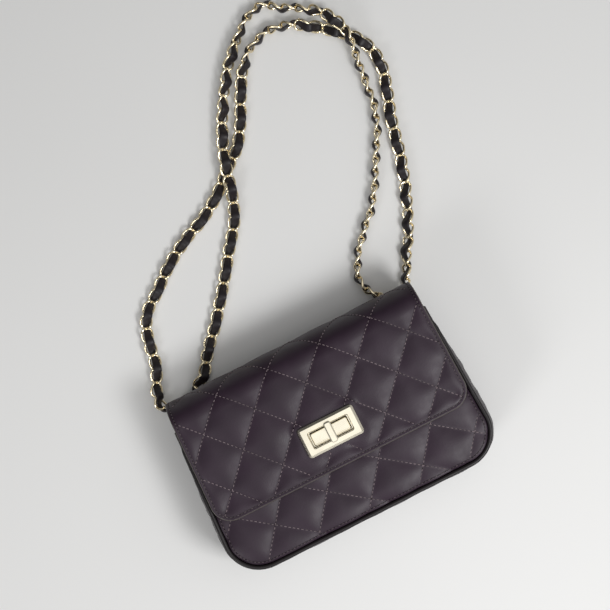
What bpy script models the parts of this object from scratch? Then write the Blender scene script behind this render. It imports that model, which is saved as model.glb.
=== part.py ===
"""A small crossbody bag with a fold-over flap, a turn lock and a chain strap.

It lies on its back: X runs across the bag, Y up the bag to its fold, Z out of its front.
The origin is under the middle of the bag. Lengths are in metres.
"""

import math

import bmesh
import bpy
from mathutils import Vector

# Clearance between neighbours, and how far a cutter passes the face that it cuts
GAP = 0.0003
OVERRUN = 0.0015

# Body, seen from the front
BODY_HEIGHT = 0.108
TOP_HALF_WIDTH = 0.092
BASE_HALF_WIDTH = 0.0975
BASE_CORNER_RADIUS = 0.022
PANEL_ABOVE_FOLD = 0.001
LINING_BELOW_FOLD = 0.001

# Body, from back to front
BODY_DEPTH = 0.050
BACK_THICKNESS = 0.0024
FRONT_THICKNESS = 0.0036
STIFFENER_THICKNESS = 0.001
STIFFENER_INSET = 0.0006
LINING_THICKNESS = 0.001
BACK_LIP_RADIUS = 0.0105

# Piping, gusset and base board
PIPING_RADIUS = 0.0015
PIPING_DROP = 0.0007
GUSSET_THICKNESS = 0.002
GUSSET_BULGE = 0.0027
GUSSET_TOP_BULGE_SHARE = 0.15
GUSSET_TAPER_SHARE = 0.45
BOARD_THICKNESS = 0.0012
BOARD_EDGE_INSET = 0.0067
BOARD_END_INSET = 0.002

# Slip pocket
POCKET_WIDTH = 0.120
POCKET_HEIGHT = 0.070
POCKET_THICKNESS = 0.0008
POCKET_BELOW_TOP = 0.018
POCKET_CORNER_RADIUS = 0.006

# Quilting: a seam crossing, and the steps from it to the next crossing along each way of the seams
FLAP_CROSSING = (0.0, -0.0055)
FLAP_SEAM_STEPS = ((0.01925, 0.02107), (0.01925, -0.02107))
FRONT_CROSSING = (0.0038, -0.0529)
FRONT_SEAM_STEPS = ((0.0168, 0.0223), (0.0244, -0.0179))
QUILT_DEPTH = 0.0012
QUILT_REACH = 6
# Each ring of a diamond: its share of the diamond's size, and its share of the quilting's rise
QUILT_RING_SHARES = ((0.84, 0.62), (0.62, 0.92), (0.36, 1.0))
FRONT_EDGE_DROP = 0.0014
FRONT_EDGE_INSET = 0.0035

# Flap
FOLD_REACH = 0.0195
FOLD_START_ANGLE = math.radians(70.5)
FOLD_HINGE_ANGLE = math.radians(68)
FLAP_DROP = 0.0715
FLAP_HEM_HALF_WIDTH = 0.095
FLAP_CORNER_RADIUS = 0.014
FLAP_THICKNESS = 0.002
FLAP_LINING_THICKNESS = 0.0008
FLAP_LINING_INSET = 0.0006
FOLD_LINING_START_ANGLE = math.radians(62)

# Turn lock, frame side
LOCK_ABOVE_HEM = 0.025
WINDOW_LENGTH = 0.0294
WINDOW_WIDTH = 0.0111
WINDOW_CORNER_RADIUS = 0.0009
WINDOW_BEVEL = 0.0005
FRAME_END_RAIL = 0.00575
FRAME_SIDE_RAIL = 0.005
FRAME_THICKNESS = 0.0028
FRAME_CORNER_RADIUS = 0.0022
FRAME_BEVEL = 0.0016
FRAME_EDGE = 0.0012
FLAP_WINDOW_EASE = 0.0004
BACKING_THICKNESS = 0.0008
BACKING_INSET = 0.0012
BACKING_WINDOW_EASE = 0.0007
PRONG_WIDTH = 0.003
PRONG_THICKNESS = 0.0008

# Turn lock, base side
BOSS_CLEARANCE = 0.0007
FLANGE_END_MARGIN = 0.004
FLANGE_SIDE_MARGIN = 0.00365
FLANGE_THICKNESS = 0.001
FLANGE_CORNER_RADIUS = 0.002
FLANGE_EASE = 0.0005
BOSS_BELOW_FRAME = 0.0012
BOSS_CORNER_RADIUS = 0.0008
BOSS_BEVEL = 0.0003
BOSS_DRAFT = 0.00065
WELL_DEPTH = 0.0022
WELL_RIM = 0.0007
PEDESTAL_HALF_WIDTH = 0.0031
COLLAR_RADIUS = 0.0042
BASE_PRONG_SPREAD = 0.0105
WASHER_LENGTH = 0.030
WASHER_WIDTH = 0.016
WASHER_THICKNESS = 0.0008

# Turn bar, across the window at rest
BAR_LENGTH = 0.0147
BAR_WIDTH = 0.0051
BAR_THICKNESS = 0.0027
BAR_CORNER_RADIUS = 0.0016
BAR_BEVEL = 0.0008
SPINDLE_RADIUS = 0.0018
HEAD_RADIUS = 0.0029
HEAD_THICKNESS = 0.0012

# Strap rings and their tabs
RING_FROM_SIDE = 0.008
RING_FROM_LIP = 0.001
RING_HEIGHT = 0.0036
RING_WIRE_RADIUS = 0.0011
RING_BEND_RADIUS = 0.0086
RING_CORNER_RADIUS = 0.002
TAB_WIDTH = 0.0125
TAB_THICKNESS = 0.0022

# Strap: one chain loop, which runs from ring to ring as two strands
STRAP_RADIUS = 0.0043
STRAP_LIFT = 0.00005
STRAP_POINTS = 40
CROSSING_RISE = 0.0098
CROSSING_REACH = 0.040
CROSSINGS = ((0.0165, 0.193), (0.135, 0.241))
OVER_ROUTE = (
    (-0.0765, 0.0612),
    (-0.0720, 0.0653),
    (-0.0620, 0.0730),
    (-0.0530, 0.0855),
    (-0.0410, 0.0985),
    (-0.0290, 0.1135),
    (-0.0175, 0.1285),
    (-0.0070, 0.1430),
    (0.0050, 0.1590),
    (0.0125, 0.1770),
    (0.0165, 0.1930),
    (0.0212, 0.2080),
    (0.0285, 0.2240),
    (0.0400, 0.2435),
    (0.0512, 0.2590),
    (0.0633, 0.2708),
    (0.0770, 0.2820),
    (0.0900, 0.2860),
    (0.1020, 0.2785),
    (0.1150, 0.2710),
    (0.1260, 0.2620),
    (0.1330, 0.2500),
    (0.1352, 0.2380),
    (0.1340, 0.2250),
    (0.1320, 0.2060),
    (0.1300, 0.1880),
    (0.1240, 0.1710),
    (0.1150, 0.1550),
    (0.1055, 0.1380),
    (0.0950, 0.1230),
    (0.0820, 0.1100),
    (0.0710, 0.0965),
    (0.0652, 0.0830),
    (0.0663, 0.0737),
    (0.0718, 0.0667),
    (0.0769, 0.0616),
)
UNDER_ROUTE = (
    (-0.0924, 0.0600),
    (-0.0969, 0.0629),
    (-0.0997, 0.0673),
    (-0.0992, 0.0730),
    (-0.0955, 0.0810),
    (-0.0900, 0.0940),
    (-0.0865, 0.1130),
    (-0.0800, 0.1275),
    (-0.0660, 0.1390),
    (-0.0490, 0.1525),
    (-0.0310, 0.1630),
    (-0.0130, 0.1710),
    (0.0025, 0.1810),
    (0.0170, 0.1935),
    (0.0308, 0.2052),
    (0.0402, 0.2190),
    (0.0485, 0.2350),
    (0.0585, 0.2510),
    (0.0698, 0.2618),
    (0.0830, 0.2670),
    (0.0980, 0.2660),
    (0.1130, 0.2585),
    (0.1280, 0.2470),
    (0.1390, 0.2370),
    (0.1460, 0.2240),
    (0.1472, 0.2100),
    (0.1430, 0.1930),
    (0.1360, 0.1720),
    (0.1320, 0.1540),
    (0.1260, 0.1330),
    (0.1185, 0.1130),
    (0.1085, 0.0920),
    (0.1003, 0.0790),
    (0.0975, 0.0725),
    (0.0943, 0.0668),
    (0.0905, 0.0622),
)

# How finely round stretches are faceted
CORNER_STEPS = 8
LOOP_CORNER_STEPS = 5
SWEEP_STEPS = 7
FOLD_STEPS = 16
TUBE_SIDES = 8
SHARP_ANGLE = math.radians(35)

# Lock sizes that follow from its window
FRAME_LENGTH = WINDOW_LENGTH + 2 * FRAME_END_RAIL
FRAME_WIDTH = WINDOW_WIDTH + 2 * FRAME_SIDE_RAIL
BOSS_LENGTH = WINDOW_LENGTH - 2 * BOSS_CLEARANCE
BOSS_WIDTH = WINDOW_WIDTH - 2 * BOSS_CLEARANCE
FLANGE_LENGTH = BOSS_LENGTH + 2 * FLANGE_END_MARGIN
FLANGE_WIDTH = BOSS_WIDTH + 2 * FLANGE_SIDE_MARGIN

# Heights, from back to front
BACK_STIFFENER_Z = BACK_THICKNESS + GAP
LINING_LOW_Z = BACK_STIFFENER_Z + STIFFENER_THICKNESS + GAP
FRONT_PANEL_Z = BODY_DEPTH - FRONT_THICKNESS
FRONT_STIFFENER_Z = FRONT_PANEL_Z - GAP - STIFFENER_THICKNESS
WASHER_Z = FRONT_STIFFENER_Z - GAP - WASHER_THICKNESS
LINING_HIGH_Z = WASHER_Z - GAP
BACKING_Z = BODY_DEPTH + GAP
FLAP_LINING_Z = BACKING_Z + BACKING_THICKNESS + GAP
FLAP_Z = FLAP_LINING_Z + FLAP_LINING_THICKNESS + GAP
FLAP_FACE_Z = FLAP_Z + FLAP_THICKNESS
FRAME_Z = FLAP_FACE_Z + GAP
FRAME_TOP_Z = FRAME_Z + FRAME_THICKNESS
BAR_Z = FRAME_TOP_Z + GAP
BOSS_TOP_Z = FRAME_TOP_Z - BOSS_BELOW_FRAME
FLANGE_Z = BODY_DEPTH - FLANGE_THICKNESS
BACK_PIPING_Z = PIPING_RADIUS
FRONT_PIPING_Z = BODY_DEPTH - PIPING_DROP - PIPING_RADIUS
GUSSET_LOW_Z = BACK_PIPING_Z + PIPING_RADIUS + GAP
GUSSET_HIGH_Z = FRONT_PIPING_Z - PIPING_RADIUS - GAP

# Places up the bag, with the origin midway between the base and the fold
PIPING_OFFSET = GAP + PIPING_RADIUS
GUSSET_REACH = PIPING_OFFSET + GUSSET_THICKNESS / 2 + GUSSET_BULGE
BASE_Y = GUSSET_REACH - (GUSSET_REACH + BODY_HEIGHT + FOLD_REACH) / 2
FOLD_Y = BASE_Y + BODY_HEIGHT
PANEL_TOP_Y = FOLD_Y + PANEL_ABOVE_FOLD
LINING_TOP_Y = FOLD_Y - LINING_BELOW_FOLD
FLAP_HEM_Y = FOLD_Y - FLAP_DROP
LOCK_Y = FLAP_HEM_Y + LOCK_ABOVE_HEM

# The fold is a quarter ellipse and a little more, which starts just above the back panel's lip
FOLD_START_Z = BACK_LIP_RADIUS + GAP
FOLD_RISE = (FLAP_FACE_Z - FOLD_START_Z) / (1 + math.sin(FOLD_START_ANGLE))
FOLD_Z = FLAP_FACE_Z - FOLD_RISE
LIP_Y = FOLD_Y + FOLD_REACH * math.cos(FOLD_START_ANGLE)
LIP_CENTRE_Y = LIP_Y - BACK_LIP_RADIUS

# Axes of the pieces that move
BRIDGE_AXIS = Vector(
    (
        0,
        FOLD_Y + FOLD_REACH * math.cos(FOLD_HINGE_ANGLE),
        FOLD_Z - FOLD_RISE * math.sin(FOLD_HINGE_ANGLE),
    )
)
FLAP_AXIS = Vector((0, FOLD_Y, FLAP_FACE_Z))
BAR_AXIS = Vector((0, LOCK_Y, BAR_Z))
RING_X = TOP_HALF_WIDTH - RING_FROM_SIDE
RING_Y = LIP_Y + RING_FROM_LIP


def clear_scene():
    for old in list(bpy.data.objects):
        bpy.data.objects.remove(old, do_unlink=True)


# Materials


def principled(name, colour, roughness, metallic=0.0):
    material = bpy.data.materials.new(name)
    material.use_nodes = True
    shader = material.node_tree.nodes["Principled BSDF"]
    shader.inputs["Base Color"].default_value = (*colour, 1.0)
    shader.inputs["Roughness"].default_value = roughness
    shader.inputs["Metallic"].default_value = metallic
    material.diffuse_color = (*colour, 1.0)
    return material


def aubergine_leather(name):
    return principled(name, (0.032, 0.022, 0.028), 0.42)


def edge_leather(name):
    return principled(name, (0.018, 0.014, 0.015), 0.5)


def dark_suede(name):
    return principled(name, (0.045, 0.03, 0.036), 0.85)


def lining_cloth(name):
    return principled(name, (0.06, 0.035, 0.042), 0.9)


def fibre_board(name):
    return principled(name, (0.12, 0.1, 0.085), 0.95)


def pale_gold(name):
    return principled(name, (0.78, 0.62, 0.38), 0.22, 1.0)


def plain_steel(name):
    return principled(name, (0.5, 0.49, 0.47), 0.35, 1.0)


# Building blocks


def solid(name, shape, material):
    """An object of one closed body, with round stretches smooth."""
    bmesh.ops.recalc_face_normals(shape, faces=shape.faces)
    mesh = bpy.data.meshes.new(name)
    shape.to_mesh(mesh)
    shape.free()
    mesh.shade_smooth()
    mesh.set_sharp_from_angle(angle=SHARP_ANGLE)
    mesh.materials.append(material)
    made = bpy.data.objects.new(name, mesh)
    bpy.context.scene.collection.objects.link(made)
    return made


def skin(rows, endless=False):
    """A closed surface through equal rings of points: its ends are capped, or it runs back into its start."""
    shape = bmesh.new()
    rings = [[shape.verts.new(point) for point in row] for row in rows]
    pairs = list(zip(rings, rings[1:]))
    if endless:
        pairs.append((rings[-1], rings[0]))
    for low, high in pairs:
        for i, corner in enumerate(low):
            following = (i + 1) % len(low)
            shape.faces.new((corner, low[following], high[following], high[i]))
    if not endless:
        shape.faces.new(rings[0])
        shape.faces.new(rings[-1])
    return shape


def plate(outline, low, high):
    """An outline in X and Y, from one height to another."""
    return skin([[(x, y, z) for x, y in outline] for z in (low, high)])


def across(profile, half_width, centre=0.0):
    """A profile in Y and Z, carried across the bag."""
    sides = (centre - half_width, centre + half_width)
    return skin([[(x, y, z) for y, z in profile] for x in sides])


def loop(half_length, half_width, radius, z, centre=(0.0, LOCK_Y)):
    """A level rectangle with round corners, or a circle where all three sizes are alike."""
    points = []
    for turn, (side_x, side_y) in enumerate(((1, 1), (-1, 1), (-1, -1), (1, -1))):
        for step in range(LOOP_CORNER_STEPS + 1):
            angle = math.pi / 2 * (turn + step / LOOP_CORNER_STEPS)
            x = centre[0] + side_x * (half_length - radius) + radius * math.cos(angle)
            y = centre[1] + side_y * (half_width - radius) + radius * math.sin(angle)
            points.append((x, y, z))
    return points


def circle(radius, z):
    """A circle about the lock, with as many points as any other loop."""
    points = []
    for turn in range(4):
        for step in range(LOOP_CORNER_STEPS + 1):
            angle = math.pi / 2 * (turn + (step + 0.5) / (LOOP_CORNER_STEPS + 1))
            points.append((radius * math.cos(angle), LOCK_Y + radius * math.sin(angle), z))
    return points


def box(half_length, half_width, low, high, centre):
    x, y = centre
    outline = (
        (x - half_length, y - half_width),
        (x + half_length, y - half_width),
        (x + half_length, y + half_width),
        (x - half_length, y + half_width),
    )
    return plate(outline, low, high)


def guide(name, shape):
    """A helper that cuts or joins another solid and is no piece of the bag."""
    made = solid(name, shape, lining_cloth(name))
    made.hide_render = True
    made.display_type = "WIRE"
    return made


def combine(target, helper, operation):
    modifier = target.modifiers.new(helper.name, "BOOLEAN")
    modifier.operation = operation
    modifier.solver = "EXACT"
    modifier.object = helper


def cut(target, *helpers):
    for helper in helpers:
        combine(target, helper, "DIFFERENCE")


def hang_on(child, parent, pivot):
    """Puts a piece's origin on its axis, and carries it on the axis's empty, if there is one."""
    child.data.transform(child.matrix_world.Translation(-pivot))
    child.location = pivot
    if parent:
        child.parent = parent
        child.location = pivot - parent_place(parent)


def parent_place(parent):
    place = parent.location.copy()
    while parent.parent:
        parent = parent.parent
        place += parent.location
    return place


def axis_empty(name, place, parent=None):
    made = bpy.data.objects.new(name, None)
    made.empty_display_size = FLANGE_WIDTH
    bpy.context.scene.collection.objects.link(made)
    made.location = place
    if parent:
        made.parent = parent
        made.location = place - parent_place(parent)
    return made


# Outlines: each is a list of edge points with the direction that faces outwards there


def sack_edge(top_y, top_half, base_y, base_half, radius, side_steps=1):
    """The sides and base of a panel that widens downwards and has round lower corners."""
    slope = (base_half - top_half) / (top_y - base_y)
    lean = math.atan(slope)
    normal = (math.cos(lean), math.sin(lean))
    centre_y = base_y + radius
    centre_x = top_half + (top_y - centre_y) * slope - radius / math.cos(lean)
    right = []
    corner_y = centre_y + radius * normal[1]
    for step in range(side_steps):
        y = top_y + (corner_y - top_y) * step / side_steps
        right.append(((top_half + (top_y - y) * slope, y), normal))
    for step in range(CORNER_STEPS + 1):
        angle = lean - (lean + math.pi / 2) * step / CORNER_STEPS
        out = (math.cos(angle), math.sin(angle))
        right.append(((centre_x + radius * out[0], centre_y + radius * out[1]), out))
    left = [((-x, y), (-nx, ny)) for (x, y), (nx, ny) in reversed(right)]
    return right + left


def body_edge(top_y, side_steps=1):
    """The body's seam line, cut off at a height."""
    slope = (BASE_HALF_WIDTH - TOP_HALF_WIDTH) / (PANEL_TOP_Y - BASE_Y)
    top_half = TOP_HALF_WIDTH + (PANEL_TOP_Y - top_y) * slope
    return sack_edge(top_y, top_half, BASE_Y, BASE_HALF_WIDTH, BASE_CORNER_RADIUS, side_steps)


def flap_edge(top_y):
    return sack_edge(top_y, TOP_HALF_WIDTH, FLAP_HEM_Y, FLAP_HEM_HALF_WIDTH, FLAP_CORNER_RADIUS)


def offset(edge, distance):
    return [(x + distance * nx, y + distance * ny) for (x, y), (nx, ny) in edge]


def sweep(edge, section, endless=False):
    """Carries a section, given as distances outwards and heights, along an edge."""
    rows = []
    for (x, y), (nx, ny) in edge:
        rows.append([(x + out * nx, y + out * ny, z) for out, z in section((x, y))])
    return skin(rows, endless)


def round_section(out, z, radius, sides=TUBE_SIDES):
    turns = [2 * math.pi * (side + 0.5) / sides for side in range(sides)]
    return [(out + radius * math.cos(turn), z + radius * math.sin(turn)) for turn in turns]


# Quilting


def quilted_sheet(crossing, steps, low, high):
    """A closed sheet of diamonds that swell between their seams, larger than any piece cut from it."""
    first, second = (Vector(step) for step in steps)
    centre = Vector(crossing)
    shape = bmesh.new()
    span = range(-QUILT_REACH, QUILT_REACH + 1)
    places = {(i, j): centre + i * first + j * second for i in span for j in span}
    over = {at: shape.verts.new((*place, high - QUILT_DEPTH)) for at, place in places.items()}
    under = {at: shape.verts.new((*place, low)) for at, place in places.items()}
    for i in span[:-1]:
        for j in span[:-1]:
            corners = ((i, j), (i + 1, j), (i + 1, j + 1), (i, j + 1))
            middle = (places[i, j] + places[i + 1, j + 1]) / 2
            ring = [over[at] for at in corners]
            for size, rise in QUILT_RING_SHARES:
                z = high - QUILT_DEPTH * (1 - rise)
                following = [
                    shape.verts.new((*middle.lerp(places[at], size), z)) for at in corners
                ]
                for k in range(4):
                    m = (k + 1) % 4
                    shape.faces.new((ring[k], ring[m], following[m], following[k]))
                ring = following
            shape.faces.new(ring)
            shape.faces.new([under[at] for at in corners])
    for k in span[:-1]:
        for border in (span[0], span[-1]):
            for a, b in (((border, k), (border, k + 1)), ((k, border), (k + 1, border))):
                shape.faces.new((over[a], over[b], under[b], under[a]))
    return shape


def trim(shape, place, outward):
    """Cuts off what lies outwards of a plane, and closes the cut."""
    parts = shape.verts[:] + shape.edges[:] + shape.faces[:]
    made = bmesh.ops.bisect_plane(
        shape, geom=parts, plane_co=place, plane_no=outward, clear_outer=True
    )
    rim = [part for part in made["geom_cut"] if isinstance(part, bmesh.types.BMEdge)]
    bmesh.ops.holes_fill(shape, edges=rim, sides=0)


# Shell


def slope_half_width(y):
    """Half of the back panel's width at a height, also above the panels."""
    slope = (BASE_HALF_WIDTH - TOP_HALF_WIDTH) / (PANEL_TOP_Y - BASE_Y)
    return TOP_HALF_WIDTH + (PANEL_TOP_Y - y) * slope


def back_panel():
    """A flat panel whose top turns up as a round lip, with a slot in the lip for each ring tab."""
    shape = bmesh.new()
    low = offset(body_edge(LIP_CENTRE_Y), 0)
    under = [shape.verts.new((x, y, 0)) for x, y in low]
    over = [shape.verts.new((x, y, BACK_THICKNESS)) for x, y in low]
    shape.faces.new(under)
    shape.faces.new(over)
    for i in range(len(low) - 1):
        shape.faces.new((under[i], under[i + 1], over[i + 1], over[i]))
    # Each row of the lip has four corners: outer right, outer left, inner left and inner right.
    last = [under[0], under[-1], over[-1], over[0]]
    for step in range(1, SWEEP_STEPS + 1):
        angle = math.pi / 2 * step / SWEEP_STEPS
        row = []
        for radius in (BACK_LIP_RADIUS, BACK_LIP_RADIUS - BACK_THICKNESS):
            y = LIP_CENTRE_Y + radius * math.sin(angle)
            z = BACK_LIP_RADIUS - radius * math.cos(angle)
            half = slope_half_width(y)
            row.append([shape.verts.new((side * half, y, z)) for side in (1, -1)])
        new = [row[0][0], row[0][1], row[1][1], row[1][0]]
        for i in range(4):
            shape.faces.new((last[i], last[(i + 1) % 4], new[(i + 1) % 4], new[i]))
        last = new
    shape.faces.new(last)
    made = solid("back_panel", shape, aubergine_leather("back_leather"))
    for side, name in ((-1, "left_tab_slot"), (1, "right_tab_slot")):
        half_height = TAB_THICKNESS / 2 + GAP
        slot = box(
            TAB_WIDTH / 2 + GAP,
            BACK_LIP_RADIUS,
            RING_HEIGHT - half_height,
            RING_HEIGHT + half_height,
            (side * RING_X, LIP_Y),
        )
        cut(made, guide(name, slot))


def lock_bore():
    """The space that the lock's base takes in the front panel: a recess for its flange and a round hole."""
    half_length = FLANGE_LENGTH / 2 + FLANGE_EASE
    half_width = FLANGE_WIDTH / 2 + FLANGE_EASE
    floor = FLANGE_Z - GAP
    rows = [
        circle(COLLAR_RADIUS + GAP, FRONT_STIFFENER_Z - OVERRUN),
        circle(COLLAR_RADIUS + GAP, floor),
        loop(half_length, half_width, FLANGE_CORNER_RADIUS, floor),
        loop(half_length, half_width, FLANGE_CORNER_RADIUS, BODY_DEPTH + OVERRUN),
    ]
    return guide("lock_bore", skin(rows))


def prong_slots(name, spread, low, high):
    """Slots for a pair of prongs, one helper for each."""
    made = []
    for side in (-1, 1):
        slot = box(
            PRONG_THICKNESS / 2 + GAP,
            PRONG_WIDTH / 2 + GAP,
            low - OVERRUN,
            high + OVERRUN,
            (side * spread, LOCK_Y),
        )
        made.append(guide(f"{name}_{'left' if side < 0 else 'right'}", slot))
    return made


def prongs(target, name, spread, low, high):
    for side in (-1, 1):
        leg = box(PRONG_THICKNESS / 2, PRONG_WIDTH / 2, low, high, (side * spread, LOCK_Y))
        combine(target, guide(f"{name}_{'left' if side < 0 else 'right'}", leg), "UNION")


def front_panel(bore, slots):
    """A quilted panel that rounds down to its piping along the sides and base."""
    quilt = quilted_sheet(FRONT_CROSSING, FRONT_SEAM_STEPS, FRONT_PANEL_Z, BODY_DEPTH)
    made = solid("front_panel", quilt, aubergine_leather("front_leather"))
    edge = body_edge(PANEL_TOP_Y)
    slope = FRONT_EDGE_DROP / FRONT_EDGE_INSET
    rows = []
    for inset, z in (
        (0, FRONT_PANEL_Z - OVERRUN),
        (0, BODY_DEPTH - FRONT_EDGE_DROP),
        (FRONT_EDGE_INSET + OVERRUN, BODY_DEPTH + OVERRUN * slope),
    ):
        rows.append([(x, y, z) for x, y in offset(edge, -inset)])
    combine(made, guide("front_outline", skin(rows)), "INTERSECT")
    cut(made, bore, *slots)


def front_stiffener(bore, slots):
    outline = offset(body_edge(PANEL_TOP_Y - STIFFENER_INSET), -STIFFENER_INSET)
    top = FRONT_STIFFENER_Z + STIFFENER_THICKNESS
    made = solid("front_stiffener", plate(outline, FRONT_STIFFENER_Z, top), fibre_board("front_board"))
    cut(made, bore, *slots)


def back_stiffener():
    outline = offset(body_edge(LIP_CENTRE_Y - GAP), -STIFFENER_INSET)
    top = BACK_STIFFENER_Z + STIFFENER_THICKNESS
    solid("back_stiffener", plate(outline, BACK_STIFFENER_Z, top), fibre_board("back_board"))


def gusset():
    """One strip round the sides and base, fuller halfway through and lower down."""
    middle = PIPING_OFFSET
    span = GUSSET_HIGH_Z - GUSSET_LOW_Z

    def bulge(y, share):
        down = min(1, (LINING_TOP_Y - y) / (BODY_HEIGHT * GUSSET_TAPER_SHARE))
        eased = down * down * (3 - 2 * down)
        fullness = GUSSET_TOP_BULGE_SHARE + (1 - GUSSET_TOP_BULGE_SHARE) * eased
        return GUSSET_BULGE * fullness * math.sin(math.pi * share)

    def section(place):
        shares = [step / SWEEP_STEPS for step in range(SWEEP_STEPS + 1)]
        line = [(middle + bulge(place[1], share), GUSSET_LOW_Z + span * share) for share in shares]
        outer = [(out + GUSSET_THICKNESS / 2, z) for out, z in line]
        inner = [(out - GUSSET_THICKNESS / 2, z) for out, z in reversed(line)]
        return outer + inner

    edge = body_edge(LINING_TOP_Y, SWEEP_STEPS)
    solid("gusset", sweep(edge, section), aubergine_leather("gusset_leather"))


def piping(name, z, top_y):
    section = round_section(PIPING_OFFSET, z, PIPING_RADIUS)
    solid(name, sweep(body_edge(top_y), lambda place: section), edge_leather(name + "_leather"))


def lining():
    """An open tub against the inner faces of the body."""
    outer = offset(body_edge(LINING_TOP_Y), -GAP)
    made = solid("lining", plate(outer, LINING_LOW_Z, LINING_HIGH_Z), lining_cloth("lining_cloth"))
    inner = offset(body_edge(LINING_TOP_Y + OVERRUN), -GAP - LINING_THICKNESS)
    hollow = plate(inner, LINING_LOW_Z + LINING_THICKNESS, LINING_HIGH_Z - LINING_THICKNESS)
    cut(made, guide("lining_hollow", hollow))


def slip_pocket():
    low = LINING_LOW_Z + LINING_THICKNESS + GAP
    centre = (0, LINING_TOP_Y - POCKET_BELOW_TOP - POCKET_HEIGHT / 2)
    size = (POCKET_WIDTH / 2, POCKET_HEIGHT / 2, POCKET_CORNER_RADIUS)
    rows = [loop(*size, low, centre), loop(*size, low + POCKET_THICKNESS, centre)]
    solid("slip_pocket", skin(rows), lining_cloth("pocket_cloth"))


def base_board():
    half = BASE_HALF_WIDTH - BASE_CORNER_RADIUS - BOARD_END_INSET
    low = GUSSET_LOW_Z + BOARD_EDGE_INSET
    high = GUSSET_HIGH_Z - BOARD_EDGE_INSET
    centre = (0, BASE_Y - BOARD_THICKNESS / 2)
    shape = box(half, BOARD_THICKNESS / 2, low, high, centre)
    solid("base_board", shape, fibre_board("base_board_fibre"))


# Flap


def fold_point(angle, depth):
    """A point of the fold, a depth under its outer face, at an angle that is zero at its outermost line."""
    y = FOLD_REACH * math.cos(angle)
    z = FOLD_RISE * math.sin(angle)
    normal = Vector((math.cos(angle) / FOLD_REACH, math.sin(angle) / FOLD_RISE)).normalized()
    return (FOLD_Y + y - depth * normal.x, FOLD_Z + z - depth * normal.y)


def fold_profile(start, end, outer_depth, thickness):
    angles = [start + (end - start) * step / FOLD_STEPS for step in range(FOLD_STEPS + 1)]
    outer = [fold_point(angle, outer_depth) for angle in angles]
    inner = [fold_point(angle, outer_depth + thickness) for angle in reversed(angles)]
    return outer + inner


def fold_slices():
    """Angles down the fold from its top, each after its distance along the outer face."""
    turn = math.pi / 2 + FOLD_START_ANGLE
    slices = [(0.0, math.pi / 2)]
    for step in range(1, FOLD_STEPS + 1):
        along, before = slices[-1]
        angle = math.pi / 2 - turn * step / FOLD_STEPS
        chord = Vector(fold_point(angle, 0)) - Vector(fold_point(before, 0))
        slices.append((along + chord.length, angle))
    return slices


def wrapped_over_fold(shape):
    """Bends a level sheet that starts at the fold's top down round the fold."""
    slices = fold_slices()
    for side in (-1, 1):
        trim(shape, (side * TOP_HALF_WIDTH, 0, 0), (side, 0, 0))
    for along, angle in slices[1:-1]:
        parts = shape.verts[:] + shape.edges[:] + shape.faces[:]
        place = (0, FOLD_Y + along, 0)
        bmesh.ops.bisect_plane(shape, geom=parts, plane_co=place, plane_no=(0, 1, 0))
    trim(shape, (0, FOLD_Y, 0), (0, -1, 0))
    trim(shape, (0, FOLD_Y + slices[-1][0], 0), (0, 1, 0))
    bmesh.ops.triangulate(shape, faces=shape.faces[:])
    for vert in shape.verts:
        along = vert.co.y - FOLD_Y
        for (near, start), (far, end) in zip(slices, slices[1:]):
            if along <= far:
                break
        angle = start + (end - start) * (along - near) / (far - near)
        vert.co.y, vert.co.z = fold_point(angle, FLAP_FACE_Z - vert.co.z)
    return shape


def flap_bridge(axis):
    quilt = quilted_sheet(FLAP_CROSSING, FLAP_SEAM_STEPS, FLAP_Z, FLAP_FACE_Z)
    made = solid(
        "flap_bridge_leather", wrapped_over_fold(quilt), aubergine_leather("fold_leather")
    )
    hang_on(made, axis, BRIDGE_AXIS)
    cloth = across(
        fold_profile(
            -FOLD_LINING_START_ANGLE,
            math.pi / 2,
            FLAP_THICKNESS + GAP,
            FLAP_LINING_THICKNESS,
        ),
        TOP_HALF_WIDTH - FLAP_LINING_INSET,
    )
    made = solid("flap_bridge_lining", cloth, dark_suede("fold_suede"))
    hang_on(made, axis, BRIDGE_AXIS)


def flap_window(ease, low, high, name):
    rows = []
    for z in (low - OVERRUN, high + OVERRUN):
        rows.append(
            loop(
                WINDOW_LENGTH / 2 + ease,
                WINDOW_WIDTH / 2 + ease,
                WINDOW_CORNER_RADIUS + ease,
                z,
            )
        )
    return guide(name, skin(rows))


def flap_front(axis, slots):
    window = flap_window(FLAP_WINDOW_EASE, FLAP_LINING_Z, FLAP_FACE_Z, "flap_window")
    helpers = [window, *slots]
    outline = offset(flap_edge(FOLD_Y - GAP), 0)
    quilt = quilted_sheet(FLAP_CROSSING, FLAP_SEAM_STEPS, FLAP_Z, FLAP_FACE_Z)
    made = solid("flap_front_leather", quilt, aubergine_leather("flap_leather"))
    hang_on(made, axis, FLAP_AXIS)
    prism = plate(outline, FLAP_Z - OVERRUN, FLAP_FACE_Z + OVERRUN)
    combine(made, guide("flap_outline", prism), "INTERSECT")
    cut(made, *helpers)
    lower = flap_edge(FOLD_Y - GAP - FLAP_LINING_INSET)
    top = FLAP_LINING_Z + FLAP_LINING_THICKNESS
    cloth = plate(offset(lower, -FLAP_LINING_INSET), FLAP_LINING_Z, top)
    made = solid("flap_front_lining", cloth, dark_suede("flap_suede"))
    hang_on(made, axis, FLAP_AXIS)
    cut(made, *helpers)


# Turn lock


def frame_prong_spread():
    """The prongs stand under the middle of the frame's end rails."""
    return (FRAME_LENGTH + WINDOW_LENGTH) / 4


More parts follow.
